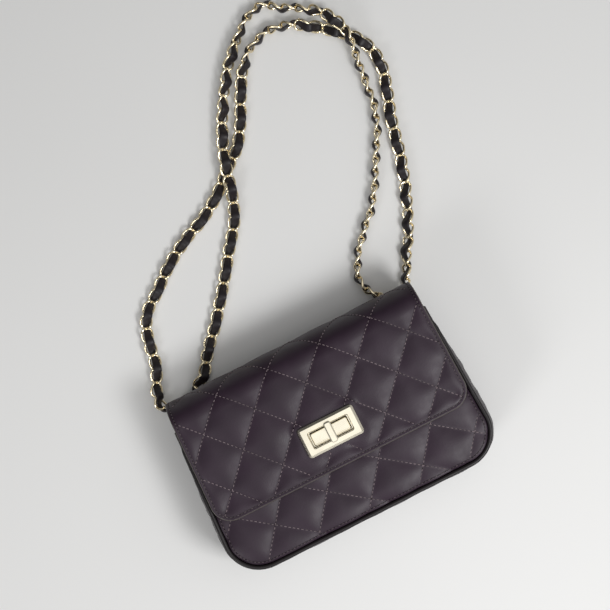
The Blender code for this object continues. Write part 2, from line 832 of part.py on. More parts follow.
def lock_frame(axis):
    """A frame with a steep outer edge, a bevel up to its face and a small bevel down into its window."""

    def outer(inset, z):
        radius = max(FRAME_CORNER_RADIUS - inset, GAP)
        return loop(FRAME_LENGTH / 2 - inset, FRAME_WIDTH / 2 - inset, radius, z)

    def inner(outset, z):
        radius = WINDOW_CORNER_RADIUS + outset
        return loop(WINDOW_LENGTH / 2 + outset, WINDOW_WIDTH / 2 + outset, radius, z)

    rows = [
        outer(0, FRAME_Z),
        outer(0, FRAME_Z + FRAME_EDGE),
        outer(FRAME_BEVEL, FRAME_TOP_Z),
        inner(WINDOW_BEVEL, FRAME_TOP_Z),
        inner(0, FRAME_TOP_Z - WINDOW_BEVEL),
        inner(0, FRAME_Z),
    ]
    made = solid("lock_frame", skin(rows, endless=True), pale_gold("frame_gold"))
    hang_on(made, axis, FLAP_AXIS)
    prongs(made, "frame_prong", frame_prong_spread(), BACKING_Z, FRAME_Z + FRAME_EDGE / 2)


def lock_frame_backing(axis, slots):
    size = (FRAME_LENGTH / 2 - BACKING_INSET, FRAME_WIDTH / 2 - BACKING_INSET, FRAME_CORNER_RADIUS)
    ease = BACKING_WINDOW_EASE
    hole = (WINDOW_LENGTH / 2 + ease, WINDOW_WIDTH / 2 + ease, WINDOW_CORNER_RADIUS + ease)
    top = BACKING_Z + BACKING_THICKNESS
    rows = [loop(*size, BACKING_Z), loop(*size, top), loop(*hole, top), loop(*hole, BACKING_Z)]
    made = solid("lock_frame_backing", skin(rows, endless=True), plain_steel("backing_steel"))
    hang_on(made, axis, FLAP_AXIS)
    cut(made, *slots)


def lock_base():
    """A flange let into the front panel, a boss that fills the window, and a collar that holds the spindle.

    The boss narrows upwards, so the flap's window clears it while the flap swings up and back.
    """
    boss = (BOSS_LENGTH / 2, BOSS_WIDTH / 2)
    boss_top = (boss[0] - BOSS_DRAFT, boss[1] - BOSS_DRAFT)
    flange = (FLANGE_LENGTH / 2, FLANGE_WIDTH / 2, FLANGE_CORNER_RADIUS)
    bore = SPINDLE_RADIUS + GAP
    head = HEAD_RADIUS + GAP
    head_roof = FRONT_PANEL_Z + GAP + HEAD_THICKNESS / 2
    rows = [
        circle(COLLAR_RADIUS, FRONT_STIFFENER_Z),
        circle(COLLAR_RADIUS, FLANGE_Z),
        loop(*flange, FLANGE_Z),
        loop(*flange, BODY_DEPTH),
        loop(*boss, BOSS_CORNER_RADIUS, BODY_DEPTH),
        loop(*boss_top, BOSS_CORNER_RADIUS, BOSS_TOP_Z - BOSS_BEVEL),
        loop(boss_top[0] - BOSS_BEVEL, boss_top[1] - BOSS_BEVEL, BOSS_CORNER_RADIUS, BOSS_TOP_Z),
        circle(bore, BOSS_TOP_Z),
        circle(bore, head_roof),
        circle(head, head_roof),
        circle(head, FRONT_STIFFENER_Z),
    ]
    made = solid("lock_base", skin(rows, endless=True), pale_gold("base_gold"))
    prongs(made, "base_prong", BASE_PRONG_SPREAD, WASHER_Z, FLANGE_Z + FLANGE_THICKNESS / 2)
    well_half = (boss_top[0] - WELL_RIM - PEDESTAL_HALF_WIDTH) / 2
    for side, name in ((-1, "left_well"), (1, "right_well")):
        centre = (side * (PEDESTAL_HALF_WIDTH + well_half), LOCK_Y)
        size = (well_half, boss_top[1] - WELL_RIM, BOSS_CORNER_RADIUS)
        rows = [loop(*size, z, centre) for z in (BOSS_TOP_Z - WELL_DEPTH, BOSS_TOP_Z + OVERRUN)]
        cut(made, guide(name, skin(rows)))


def lock_base_washer(slots):
    size = (WASHER_LENGTH / 2, WASHER_WIDTH / 2, FLANGE_CORNER_RADIUS)
    top = WASHER_Z + WASHER_THICKNESS
    rows = [
        loop(*size, WASHER_Z),
        loop(*size, top),
        circle(COLLAR_RADIUS - GAP, top),
        circle(COLLAR_RADIUS - GAP, WASHER_Z),
    ]
    made = solid("lock_base_washer", skin(rows, endless=True), plain_steel("washer_steel"))
    cut(made, *slots)


def turn_bar():
    """A bar with bevelled edges on a spindle, whose head turns in the base's collar."""
    head_top = FRONT_PANEL_Z + HEAD_THICKNESS / 2
    bar = (BAR_WIDTH / 2, BAR_LENGTH / 2)
    low_bevel = BAR_BEVEL / 2
    rows = [
        circle(HEAD_RADIUS, head_top - HEAD_THICKNESS),
        circle(HEAD_RADIUS, head_top),
        circle(SPINDLE_RADIUS, head_top),
        circle(SPINDLE_RADIUS, BAR_Z),
        loop(bar[0] - low_bevel, bar[1] - low_bevel, BAR_CORNER_RADIUS - low_bevel, BAR_Z),
        loop(*bar, BAR_CORNER_RADIUS, BAR_Z + low_bevel),
        loop(*bar, BAR_CORNER_RADIUS, BAR_Z + BAR_THICKNESS - BAR_BEVEL),
        loop(
            bar[0] - BAR_BEVEL,
            bar[1] - BAR_BEVEL,
            BAR_CORNER_RADIUS - BAR_BEVEL,
            BAR_Z + BAR_THICKNESS,
        ),
    ]
    made = solid("turn_bar", skin(rows), pale_gold("bar_gold"))
    hang_on(made, None, BAR_AXIS)


# Strap rings and tabs


def ring_edge():
    """The D of a ring about the middle of its bar: a bar, two small bends and one long round bend."""
    bend_x = math.sqrt((RING_BEND_RADIUS - RING_CORNER_RADIUS) ** 2 - RING_CORNER_RADIUS**2)
    meet = math.atan2(RING_CORNER_RADIUS, bend_x)
    edge = []
    for step in range(CORNER_STEPS // 2 + 1):
        angle = -math.pi / 2 + (meet + math.pi / 2) * step * 2 / CORNER_STEPS
        out = (math.cos(angle), math.sin(angle))
        x = bend_x + RING_CORNER_RADIUS * out[0]
        edge.append(((x, RING_CORNER_RADIUS * (1 + out[1])), out))
    for step in range(1, CORNER_STEPS + 1):
        angle = meet + (math.pi / 2 - meet) * step / CORNER_STEPS
        out = (math.cos(angle), math.sin(angle))
        edge.append(((RING_BEND_RADIUS * out[0], RING_BEND_RADIUS * out[1]), out))
    left = [((-x, y), (-nx, ny)) for (x, y), (nx, ny) in reversed(edge[:-1])]
    return edge + left


def d_ring(name, side):
    section = round_section(0, 0, RING_WIRE_RADIUS)
    made = solid(name, sweep(ring_edge(), lambda place: section, endless=True), pale_gold(name + "_gold"))
    made.location = (side * RING_X, RING_Y, RING_HEIGHT)


def ring_tab(name, side):
    """A strip folded round the ring's bar, its tail let into the back panel's lip."""
    half = TAB_THICKNESS / 2
    bore = RING_WIRE_RADIUS + GAP
    radius = bore + half
    meet = math.pi - math.asin(half / radius)
    profile = [(LINING_TOP_Y + GAP, RING_HEIGHT + half), (LINING_TOP_Y + GAP, RING_HEIGHT - half)]
    for step in range(2 * CORNER_STEPS + 1):
        angle = -meet + 2 * meet * step / (2 * CORNER_STEPS)
        profile.append((RING_Y + radius * math.cos(angle), RING_HEIGHT + radius * math.sin(angle)))
    made = solid(name, across(profile, TAB_WIDTH / 2, side * RING_X), aubergine_leather(name + "_leather"))
    hole = [(RING_Y + out, RING_HEIGHT + up) for out, up in round_section(0, 0, bore, 2 * TUBE_SIDES)]
    cut(made, guide(name + "_bore", across(hole, TAB_WIDTH / 2 + OVERRUN, side * RING_X)))


# Strap


def smooth_route(route, count):
    """Evenly spaced points on a smooth curve from the route's second point to its last but one."""
    points = [Vector(point) for point in route]
    along = [0.0]
    for before, after in zip(points, points[1:]):
        along.append(along[-1] + (after - before).length)
    fine = []
    for i in range(1, len(points) - 2):
        span = along[i + 1] - along[i]
        leaving = (points[i + 1] - points[i - 1]) / (along[i + 1] - along[i - 1]) * span
        arriving = (points[i + 2] - points[i]) / (along[i + 2] - along[i]) * span
        for step in range(SWEEP_STEPS):
            t = step / SWEEP_STEPS
            near = (2 * t**3 - 3 * t**2 + 1) * points[i] + (t**3 - 2 * t**2 + t) * leaving
            far = (3 * t**2 - 2 * t**3) * points[i + 1] + (t**3 - t**2) * arriving
            fine.append(near + far)
    fine.append(points[-2])
    lengths = [0.0]
    for before, after in zip(fine, fine[1:]):
        lengths.append(lengths[-1] + (after - before).length)
    even = []
    piece = 0
    for k in range(count):
        wanted = lengths[-1] * k / (count - 1)
        while piece < len(fine) - 2 and lengths[piece + 1] < wanted:
            piece += 1
        share = (wanted - lengths[piece]) / (lengths[piece + 1] - lengths[piece])
        even.append(fine[piece].lerp(fine[piece + 1], share))
    return even


def crossing_lift(place):
    """How far the upper strand rises where it passes over the lower one."""
    lift = 0.0
    for crossing in CROSSINGS:
        away = (Vector(crossing) - place).length
        if away < CROSSING_REACH:
            lift = max(lift, CROSSING_RISE * math.cos(math.pi / 2 * away / CROSSING_REACH) ** 2)
    return lift


def strap_strand(name, route, passes_over):
    line = [Vector(route[0]), *smooth_route(route, STRAP_POINTS - 2), Vector(route[-1])]
    curve = bpy.data.curves.new(name, "CURVE")
    curve.dimensions = "3D"
    curve.bevel_depth = STRAP_RADIUS
    curve.bevel_resolution = 2
    curve.use_fill_caps = True
    spline = curve.splines.new("POLY")
    spline.points.add(len(line) - 1)
    for point, place in zip(spline.points, line):
        lift = crossing_lift(place) if passes_over else 0.0
        point.co = (place.x, place.y, STRAP_RADIUS + STRAP_LIFT + lift, 1)
    curve.materials.append(pale_gold(name + "_gold"))
    made = bpy.data.objects.new(name, curve)
    bpy.context.scene.collection.objects.link(made)


def main():
    clear_scene()
    bridge_axis = axis_empty("flap_bridge_axis", BRIDGE_AXIS)
    flap_axis = axis_empty("flap_front_axis", FLAP_AXIS, bridge_axis)

    bore = lock_bore()
    base_slots = prong_slots("base_prong_slot", BASE_PRONG_SPREAD, WASHER_Z, BODY_DEPTH)
    frame_slots = prong_slots("frame_prong_slot", frame_prong_spread(), BACKING_Z, FLAP_FACE_Z)

    back_panel()
    front_panel(bore, base_slots)
    gusset()
    piping("piping_front", FRONT_PIPING_Z, LINING_TOP_Y)
    piping("piping_back", BACK_PIPING_Z, LIP_CENTRE_Y)
    lining()
    slip_pocket()
    back_stiffener()
    front_stiffener(bore, base_slots)
    base_board()

    flap_bridge(bridge_axis)
    flap_front(flap_axis, frame_slots)

    lock_frame(flap_axis)
    lock_frame_backing(flap_axis, frame_slots)
    lock_base()
    lock_base_washer(base_slots)
    turn_bar()

    for side, name in ((-1, "left"), (1, "right")):
        ring_tab(name + "_ring_tab", side)
        d_ring(name + "_d_ring", side)

    strap_strand("strap_strand_over", OVER_ROUTE, True)
    strap_strand("strap_strand_under", UNDER_ROUTE, False)


main()
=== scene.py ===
"""Dresses the crossbody bag's frame: quilted leather, woven chain strap, pale gold hardware."""
import math
import random

import bmesh
import bpy
import numpy as np
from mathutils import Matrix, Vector

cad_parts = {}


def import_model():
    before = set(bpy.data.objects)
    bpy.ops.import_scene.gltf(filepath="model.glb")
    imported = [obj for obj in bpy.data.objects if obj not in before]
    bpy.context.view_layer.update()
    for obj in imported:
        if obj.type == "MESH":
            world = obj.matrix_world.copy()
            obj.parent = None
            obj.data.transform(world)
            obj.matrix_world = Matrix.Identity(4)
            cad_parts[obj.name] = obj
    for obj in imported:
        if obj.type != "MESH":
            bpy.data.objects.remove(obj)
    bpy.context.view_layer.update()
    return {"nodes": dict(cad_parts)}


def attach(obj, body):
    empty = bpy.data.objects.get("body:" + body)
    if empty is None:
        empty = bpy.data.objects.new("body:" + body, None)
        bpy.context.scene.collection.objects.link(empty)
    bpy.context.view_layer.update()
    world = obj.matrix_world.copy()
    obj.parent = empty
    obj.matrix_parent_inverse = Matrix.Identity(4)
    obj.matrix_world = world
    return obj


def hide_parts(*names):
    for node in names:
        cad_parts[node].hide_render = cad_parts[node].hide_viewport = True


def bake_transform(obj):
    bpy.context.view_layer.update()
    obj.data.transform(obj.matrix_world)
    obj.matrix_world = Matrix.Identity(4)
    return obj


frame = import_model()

MM = 0.001

# Body and flap, in millimetres
FOLD_Y = 47.0
FOLD_REACH = 19.5
FOLD_RISE = 22.495
FOLD_Z = 32.005
FLAP_Z = 54.5
FLAP_DROP = 71.5
HEM_Y = FOLD_Y - FLAP_DROP
TOP_HALF = 92.0
FLAP_HALF = 93.3
HEM_HALF = 95.7
HEM_CORNER = 14.0
HEM_STITCH_INSET = 2.5
BASE_Y = -61.0
BASE_HALF = 97.5
BASE_CORNER = 22.0
PANEL_TOP_Y = 48.0
FRONT_Z = 50.0
FRONT_BACK_Z = 46.4
BACK_THICK = 2.4
SIDE_TOP_Y = 46.0
SEAM_OUT = 1.8
LIP_Y = 43.01
LIP_RADIUS = 10.5
UNEVEN = 0.15

# Lock and rings, in millimetres
LOCK_Y = 0.5
LOCK_SEAT_Z = 49.9
FRAME_HALF = (20.45, 10.55)
FLANGE_HALF = (18.5, 9.0)
FLANGE_CLEAR_HALF = (20.0, 10.5)
WINDOW_HALF = (15.6, 6.4)
RING_PLACE = (84.0, 54.509, 3.6)
TAB_SLOT_HALF = (6.55, 1.4)

# Quilting, in millimetres: a seam crossing and the two steps to its neighbours. The simulated sheet
# has CELLS pillows each way, with CELL_STEPS grid steps each, and repeats over the panels.
FLAP_LATTICE = ((0.0, -5.5), (19.25, 21.07), (19.25, -21.07))
FRONT_LATTICE = ((3.8, -52.9), (16.8, 22.3), (24.4, -17.9))
BACK_LATTICE = FLAP_LATTICE
CELLS = 6
CELL_STEPS = 14
PILLOW = 1.75
SEAM_DEPTH = 1.3
STITCH_PITCH = 2.9
BORDER_PITCH = 2.6

random.seed(7)


# Small helpers


def smoothstep(low, high, value):
    t = np.clip((value - low) / (high - low), 0.0, 1.0)
    return t * t * (3 - 2 * t)


def link(name, mesh):
    made = bpy.data.objects.new(name, mesh)
    bpy.context.scene.collection.objects.link(made)
    return made


def distances(points):
    """How far along a line each of its points is."""
    return np.r_[0, np.cumsum(np.linalg.norm(np.diff(points, axis=0), axis=1))]


def read_line(places, along, values):
    """Rows of values at distances along a line, between the rows that lie at its points."""
    return np.stack([np.interp(places, along, column) for column in values.T], axis=1)


def unit(vectors):
    return vectors / np.linalg.norm(vectors, axis=1)[:, None]


def cell_middles(grid):
    """Values at the middles of a grid's cells."""
    return (grid[:-1, :-1] + grid[1:, 1:]) / 2


def mesh_piece(name, points, faces, materials, indices=None):
    """A smooth-shaded mesh from points in millimetres."""
    mesh = bpy.data.meshes.new(name)
    mesh.from_pydata([tuple(p) for p in np.asarray(points) * MM], [], faces)
    for material in materials:
        mesh.materials.append(material)
    if indices is not None:
        mesh.polygons.foreach_set("material_index", np.asarray(indices, dtype=np.int32))
    mesh.polygons.foreach_set("use_smooth", np.full(len(mesh.polygons), True))
    mesh.update()
    return link(name, mesh)


def face_outwards(made):
    shape = bmesh.new()
    shape.from_mesh(made.data)
    bmesh.ops.recalc_face_normals(shape, faces=shape.faces)
    shape.to_mesh(made.data)
    shape.free()
    return made


def arc(x, y, radius, turns):
    return [(x + radius * math.cos(turn), y + radius * math.sin(turn)) for turn in turns]


def ring_faces(count, sides, closed=False):
    """Faces that join rings of points into a tube, with caps unless it closes on itself."""
    faces = []
    for i in range(count if closed else count - 1):
        j = (i + 1) % count
        for k in range(sides):
            m = (k + 1) % sides
            faces.append((i * sides + k, i * sides + m, j * sides + m, j * sides + k))
    if not closed:
        faces.append(tuple(range(sides)))
        faces.append(tuple(range(count * sides - 1, (count - 1) * sides - 1, -1)))
    return faces


def tube(line, radius, sides, closed=False):
    """Points and faces of a round tube along a line."""
    count = len(line)
    if closed:
        tangents = unit(np.roll(line, -1, 0) - np.roll(line, 1, 0))
    else:
        tangents = unit(np.gradient(line, axis=0))
    side = np.zeros_like(line)
    guide = np.array([0.0, 0.0, 1.0])
    if abs(tangents[0] @ guide) > 0.9:
        guide = np.array([1.0, 0.0, 0.0])
    for i, tangent in enumerate(tangents):
        guide = guide - tangent * (guide @ tangent)
        guide /= np.linalg.norm(guide)
        side[i] = guide
    up = np.cross(tangents, side)
    turns = np.linspace(0, 2 * math.pi, sides, endpoint=False)
    radii = np.broadcast_to(radius, (count,))
    rings = [
        line[i] + radii[i] * (np.outer(np.cos(turns), side[i]) + np.outer(np.sin(turns), up[i]))
        for i in range(count)
    ]
    return np.vstack(rings), ring_faces(count, sides, closed)


class Builder:
    """Gathers parts of one mesh."""

    def __init__(self):
        self.points, self.faces, self.indices, self.count = [], [], [], 0

    def add(self, points, faces, indices):
        """Adds a part whose faces have one material, or a list with one for each face."""
        self.points.append(points)
        self.faces += [tuple(c + self.count for c in face) for face in faces]
        self.indices += indices if isinstance(indices, list) else [indices] * len(faces)
        self.count += len(points)

    def make(self, name, materials):
        return mesh_piece(name, np.vstack(self.points), self.faces, materials, self.indices)


# Materials


def fill_ramp(ramp, stops):
    """Places and colours of a colour ramp, given from its low end to its high end."""
    for place, _ in stops[1:-1]:
        ramp.elements.new(place)
    for element, (place, colour) in zip(ramp.elements, stops):
        element.position = place
        element.color = (*colour, 1)


def shade(colour, factor):
    return tuple(c * factor for c in colour)


class Nodes:
    """A node material under construction. Its scales are per metre, its depths in metres."""

    def __init__(self, name):
        self.material = bpy.data.materials.new(name)
        self.material.use_nodes = True
        self.tree = self.material.node_tree
        self.shader = self.tree.nodes["Principled BSDF"]
        self.place = self.add("ShaderNodeTexCoord").outputs["Object"]

    def add(self, kind, **values):
        node = self.tree.nodes.new(kind)
        for key, value in values.items():
            setattr(node, key, value)
        return node

    def join(self, source, target):
        self.tree.links.new(source, target)

    def scaled(self, factors):
        node = self.add("ShaderNodeMapping")
        node.inputs["Scale"].default_value = factors
        self.join(self.place, node.inputs["Vector"])
        return node.outputs["Vector"]

    def noise(self, scale, detail=3.0, roughness=0.5, place=None):
        node = self.add("ShaderNodeTexNoise")
        node.inputs["Scale"].default_value = scale
        node.inputs["Detail"].default_value = detail
        node.inputs["Roughness"].default_value = roughness
        self.join(place or self.place, node.inputs["Vector"])
        return node.outputs["Fac"]

    def cells(self, scale):
        node = self.add("ShaderNodeTexVoronoi", feature="SMOOTH_F1")
        node.inputs["Scale"].default_value = scale
        node.inputs["Smoothness"].default_value = 0.6
        self.join(self.place, node.inputs["Vector"])
        return node.outputs["Distance"]

    def ramp(self, source, stops):
        node = self.add("ShaderNodeValToRGB")
        fill_ramp(node.color_ramp, stops)
        self.join(source, node.inputs["Fac"])
        return node.outputs["Color"]

    def spread(self, source, low, high):
        node = self.add("ShaderNodeMapRange")
        node.inputs["To Min"].default_value = low
        node.inputs["To Max"].default_value = high
        self.join(source, node.inputs["Value"])
        return node.outputs["Result"]

    def bump(self, source, depth, strength=1.0, under=None):
        node = self.add("ShaderNodeBump")
        node.inputs["Strength"].default_value = strength
        node.inputs["Distance"].default_value = depth
        self.join(source, node.inputs["Height"])
        if under is not None:
            self.join(under, node.inputs["Normal"])
        return node.outputs["Normal"]

    def finish(self, colour, roughness=None, normal=None, **numbers):
        """Joins what varies to the shader, and sets the numbers that are the same all over."""
        linked = (("Base Color", colour), ("Roughness", roughness), ("Normal", normal))
        for socket, source in linked:
            if source is not None:
                self.join(source, self.shader.inputs[socket])
        for key, value in numbers.items():
            self.shader.inputs[key.replace("_", " ")].default_value = value
        return self.material


def leather(name, colour, shine=0.43, grain=0.00005):
    """Soft grained leather: fine pebbles, wider creases and a slightly uneven colour."""
    n = Nodes(name)
    stops = [(0.3, shade(colour, 0.84)), (0.55, colour), (0.8, shade(colour, 1.14))]
    tone = n.ramp(n.noise(60, 4), stops)
    rough = n.spread(n.noise(140, 3), shine - 0.06, shine + 0.12)
    coarse = n.bump(n.noise(240, 3, 0.6), grain * 1.6, 0.5)
    fine = n.bump(n.cells(1150), grain, 0.55, coarse)
    gloss = {"Specular_IOR_Level": 0.32, "Sheen_Weight": 0.02, "Sheen_Roughness": 0.5}
    return n.finish(tone, rough, fine, **gloss)


def metal(name, colour, shine, worn):
    """Polished plate with faint brushed marks and slightly duller patches."""
    n = Nodes(name)
    tone = n.ramp(n.noise(90, 3), [(0.35, shade(colour, 0.9)), (0.65, colour)])
    marks = n.noise(900, 2, 0.7, n.scaled((1, 0.12, 1)))
    rough = n.spread(marks, shine - worn / 2, shine + worn)
    normal = n.bump(n.noise(420, 2), 0.000004, 0.5)
    return n.finish(tone, rough, normal, Metallic=1.0)


def cloth(name, colour):
    """Plain woven cloth: two crossing waves give warp and weft."""
    n = Nodes(name)
    pitch = 0.0006
    waves = []
    for direction in ("X", "Y"):
        wave = n.add("ShaderNodeTexWave", wave_type="BANDS", bands_direction=direction)
        wave.inputs["Scale"].default_value = 1 / (pitch * 20)
        wave.inputs["Distortion"].default_value = 0.6
        n.join(n.place, wave.inputs["Vector"])
        waves.append(wave.outputs["Fac"])
    weave = n.add("ShaderNodeMath", operation="MULTIPLY")
    n.join(waves[0], weave.inputs[0])
    n.join(waves[1], weave.inputs[1])
    tone = n.ramp(n.noise(80, 3), [(0.3, shade(colour, 0.7)), (0.7, colour)])
    normal = n.bump(weave.outputs["Value"], 0.00012, 0.7)
    return n.finish(tone, None, normal, Roughness=0.85, Sheen_Weight=0.2)


def suede(name, colour):
    """Short nap, brushed lighter and darker in soft patches."""
    n = Nodes(name)
    stops = [(0.3, shade(colour, 0.65)), (0.5, colour), (0.75, shade(colour, 1.35))]
    tone = n.ramp(n.noise(45, 5, 0.65), stops)
    normal = n.bump(n.noise(2200, 2), 0.00006, 0.8)
    return n.finish(tone, None, normal, Roughness=0.92, Sheen_Weight=0.45, Sheen_Roughness=0.4)


def board(name, colour):
    """Pressed fibre board."""
    n = Nodes(name)
    tone = n.ramp(n.noise(500, 4), [(0.35, shade(colour, 0.75)), (0.65, colour)])
    return n.finish(tone, None, n.bump(n.noise(900, 3), 0.00004), Roughness=0.85)


def thread(name, colour):
    """Twisted thread: a slanting wave along each stitch."""
    n = Nodes(name)
    wave = n.add("ShaderNodeTexWave", wave_type="BANDS", bands_direction="DIAGONAL")
    wave.inputs["Scale"].default_value = 120
    n.join(n.place, wave.inputs["Vector"])
    tone = n.ramp(wave.outputs["Fac"], [(0.2, shade(colour, 0.6)), (0.7, colour)])
    normal = n.bump(wave.outputs["Fac"], 0.00004)
    gloss = {"Specular_IOR_Level": 0.25, "Sheen_Weight": 0.08}
    return n.finish(tone, None, normal, Roughness=0.6, **gloss)


def shadow(name, colour):
    """Painted shade: the shadowed inside of a needle's hole, drawn near black with no gloss."""
    n = Nodes(name)
    tone = n.ramp(n.noise(900, 2), [(0.3, shade(colour, 0.5)), (0.7, colour)])
    return n.finish(tone, Roughness=1.0, Specular_IOR_Level=0.0)


def painted_edge(name, colour):
    """The paint that seals a cut edge, a little lumpy."""
    n = Nodes(name)
    tone = n.ramp(n.noise(300, 3), [(0.3, shade(colour, 0.7)), (0.7, colour)])
    return n.finish(tone, None, n.bump(n.noise(700, 2), 0.00003), Roughness=0.5)


LEATHER = leather("aubergine_leather", (0.0245, 0.0128, 0.0235))
PLAIN = leather("aubergine_plain", (0.025, 0.017, 0.022), 0.47)
CORD = leather("piping_leather", (0.012, 0.0095, 0.0105), 0.4, 0.00003)
LACE = leather("lace_leather", (0.014, 0.0105, 0.0125), 0.42, 0.00004)
EDGE = painted_edge("edge_paint", (0.078, 0.066, 0.06))
SUEDE = suede("flap_suede", (0.045, 0.03, 0.036))
CLOTH = cloth("lining_cloth", (0.06, 0.035, 0.042))
THREAD = thread("mauve_thread", (0.2, 0.155, 0.17))
DARK_THREAD = thread("dark_thread", (0.085, 0.066, 0.072))
# Painted shade that stands for the shadowed insides of the needle holes
HOLE_SHADE = shadow("needle_hole_shade", (0.005, 0.004, 0.005))
GOLD = metal("pale_gold", (1.0, 0.935, 0.77), 0.13, 0.06)
CHAIN_GOLD = metal("chain_gold", (1.0, 0.87, 0.61), 0.17, 0.08)
STEEL = metal("plain_steel", (0.52, 0.51, 0.49), 0.35, 0.12)
BOARD = board("fibre_board", (0.12, 0.1, 0.085))


# Camera, light and floor


def camera():
    """The photograph's view: straight down, turned so that the bag's right side is higher."""
    data = bpy.data.cameras.new("camera")
    data.angle = math.radians(24.36)
    data.clip_start = 0.01
    made = link("camera", data)
    made.location = (0.02284, 0.0836, 1.0)
    made.rotation_euler = (0, 0, math.atan2(-0.452, 0.893))
    bpy.context.scene.camera = made


def area_light(name, place, aim, size, power):
    """A square lamp; its side is in metres."""
    data = bpy.data.lights.new(name, "AREA")
    data.shape = "SQUARE"
    data.size = size
    data.energy = power
    made = link(name, data)
    made.location = place
    made.rotation_euler = (Vector(aim) - Vector(place)).to_track_quat("-Z", "Y").to_euler()


def world():
    """A sky that is brighter overhead, and towards the picture's right and lower side."""
    made = bpy.data.worlds.new("studio")
    bpy.context.scene.world = made
    made.use_nodes = True
    tree = made.node_tree
    back = tree.nodes["Background"]
    place = tree.nodes.new("ShaderNodeTexCoord")
    split = tree.nodes.new("ShaderNodeSeparateXYZ")
    ramp = tree.nodes.new("ShaderNodeValToRGB")
    stops = ((0.0, 0.3), (0.2, 0.26), (0.5, 0.2), (0.75, 0.4), (0.92, 0.8), (0.98, 1.0))
    warm = (1, 0.995, 0.985)
    fill_ramp(ramp.color_ramp, [(at, shade(warm, level)) for at, level in stops])
    tree.links.new(place.outputs["Generated"], split.inputs["Vector"])
    tree.links.new(split.outputs["Z"], ramp.inputs["Fac"])
    tree.links.new(ramp.outputs["Color"], back.inputs["Color"])
    across = tree.nodes.new("ShaderNodeVectorMath")
    across.operation = "DOT_PRODUCT"
    across.inputs[1].default_value = (0.66, -0.75, 0.0)
    strength = tree.nodes.new("ShaderNodeMapRange")
    limits = {"From Min": -0.55, "From Max": 0.55, "To Min": 0.35, "To Max": 1.65}
    for socket, value in limits.items():
        strength.inputs[socket].default_value = value
    tree.links.new(place.outputs["Generated"], across.inputs[0])
    tree.links.new(across.outputs["Value"], strength.inputs["Value"])
    tree.links.new(strength.outputs["Result"], back.inputs["Strength"])


def floor():
    half = 2.5
    points = [(-half, -half, 0), (half, -half, 0), (half, half, 0), (-half, half, 0)]
    n = Nodes("studio_floor")
    tone = n.ramp(n.noise(3, 2), [(0.3, (0.73, 0.73, 0.725)), (0.7, (0.75, 0.75, 0.745))])
    n.finish(tone, Roughness=0.9, Specular_IOR_Level=0.1)
    made = mesh_piece("studio_floor", np.array(points) / MM, [(0, 1, 2, 3)], [n.material])
    made.location.z = -0.0001  # just under the pieces that lie on it


camera()
world()
floor()
bpy.context.scene.view_settings.view_transform = "Standard"
area_light("key", (-0.95, -0.55, 0.75), (0.0, 0.03, 0.0), 0.4, 4.4)
area_light("window", (0.3, -0.42, 0.8), (0.0, 0.0, 0.0), 0.3, 4.8)


# Strap

# The runs of the chain on the floor, from the left ring to the right one, in millimetres
OVER_ROUTE = (
    (-76.5, 61.2), (-72.0, 65.3), (-62.0, 73.0), (-53.0, 85.5), (-41.0, 98.5), (-29.0, 113.5),
    (-17.5, 128.5), (-7.0, 143.0), (5.0, 159.0), (12.5, 177.0), (16.5, 193.0), (21.2, 208.0),
    (28.5, 224.0), (40.0, 243.5), (51.2, 259.0), (63.3, 270.8), (77.0, 282.0), (90.0, 286.0),
    (102.0, 278.5), (115.0, 271.0), (126.0, 262.0), (133.0, 250.0), (135.2, 238.0),
    (134.0, 225.0), (132.0, 206.0), (130.0, 188.0), (124.0, 171.0), (115.0, 155.0),
    (105.5, 138.0), (95.0, 123.0), (82.0, 110.0), (71.0, 96.5), (65.2, 83.0), (66.3, 73.7),
    (71.8, 66.7), (76.9, 61.6),
)
UNDER_ROUTE = (
    (-92.4, 60.0), (-96.9, 62.9), (-99.7, 67.3), (-99.2, 73.0), (-95.5, 81.0), (-90.0, 94.0),
    (-86.5, 113.0), (-80.0, 127.5), (-66.0, 139.0), (-49.0, 152.5), (-31.0, 163.0),
    (-13.0, 171.0), (2.5, 181.0), (17.0, 193.5), (30.8, 205.2), (40.2, 219.0), (48.5, 235.0),
    (58.5, 251.0), (69.8, 261.8), (83.0, 267.0), (98.0, 266.0), (113.0, 258.5), (128.0, 247.0),
    (139.0, 237.0), (146.0, 224.0), (147.2, 210.0), (143.0, 193.0), (136.0, 172.0),
    (132.0, 154.0), (126.0, 133.0), (118.5, 113.0), (108.5, 92.0), (100.3, 79.0),
    (97.5, 72.5), (94.3, 66.8), (90.5, 62.2),
)
# Where the first run climbs over the second, from how far off, and how high
CROSSINGS = ((16.5, 193.0), (135.0, 241.0))
CROSSING_REACH = 40.0
CROSSING_RISE = 5.4
# How far the chain has turned on its side, in degrees, near these places
OVER_ROLL = (
    ((-76.5, 61.2), 80), ((-68.0, 68.0), 30), ((-58.0, 78.0), 4), ((22.0, 210.0), 0),
    ((34.0, 234.0), 42), ((58.0, 266.0), 45), ((72.0, 278.0), 86), ((118.0, 269.0), 84),
    ((127.0, 260.0), 25), ((134.5, 247.0), 25), ((135.0, 236.0), 84), ((110.0, 146.0), 88),
    ((70.0, 95.0), 84), ((76.9, 61.6), 86),
)
UNDER_ROLL = (
    ((-92.4, 60.0), 80), ((-99.4, 70.0), 45), ((-94.0, 84.0), 6), ((54.0, 244.0), 4),
    ((66.0, 259.0), 84), ((100.0, 265.5), 84), ((116.0, 256.5), 14), ((147.0, 210.0), 6),
    ((131.0, 150.0), 14), ((117.0, 110.0), 40), ((103.0, 83.0), 52), ((90.5, 62.2), 80),
)
# Links and lace, in millimetres; the wire's size is its radius
FLAT_HEIGHT = 3.3
EDGE_HEIGHT = 4.65
FLOOR_GAP = 0.1
LINK_START = 2.2
LINK_PITCH = 9.65
LINK_LENGTH = 12.4
LINK_WIDTH = 9.2
LINK_WIRE = 0.86
LINK_TWIST = 1.5
LINK_BEND = 0.6
LACE_STEP = 0.6
LACE_END = 1.0
LACE_SWING = 2.3
LACE_SHIFT = -0.9
LACE_TAPER = 6.0


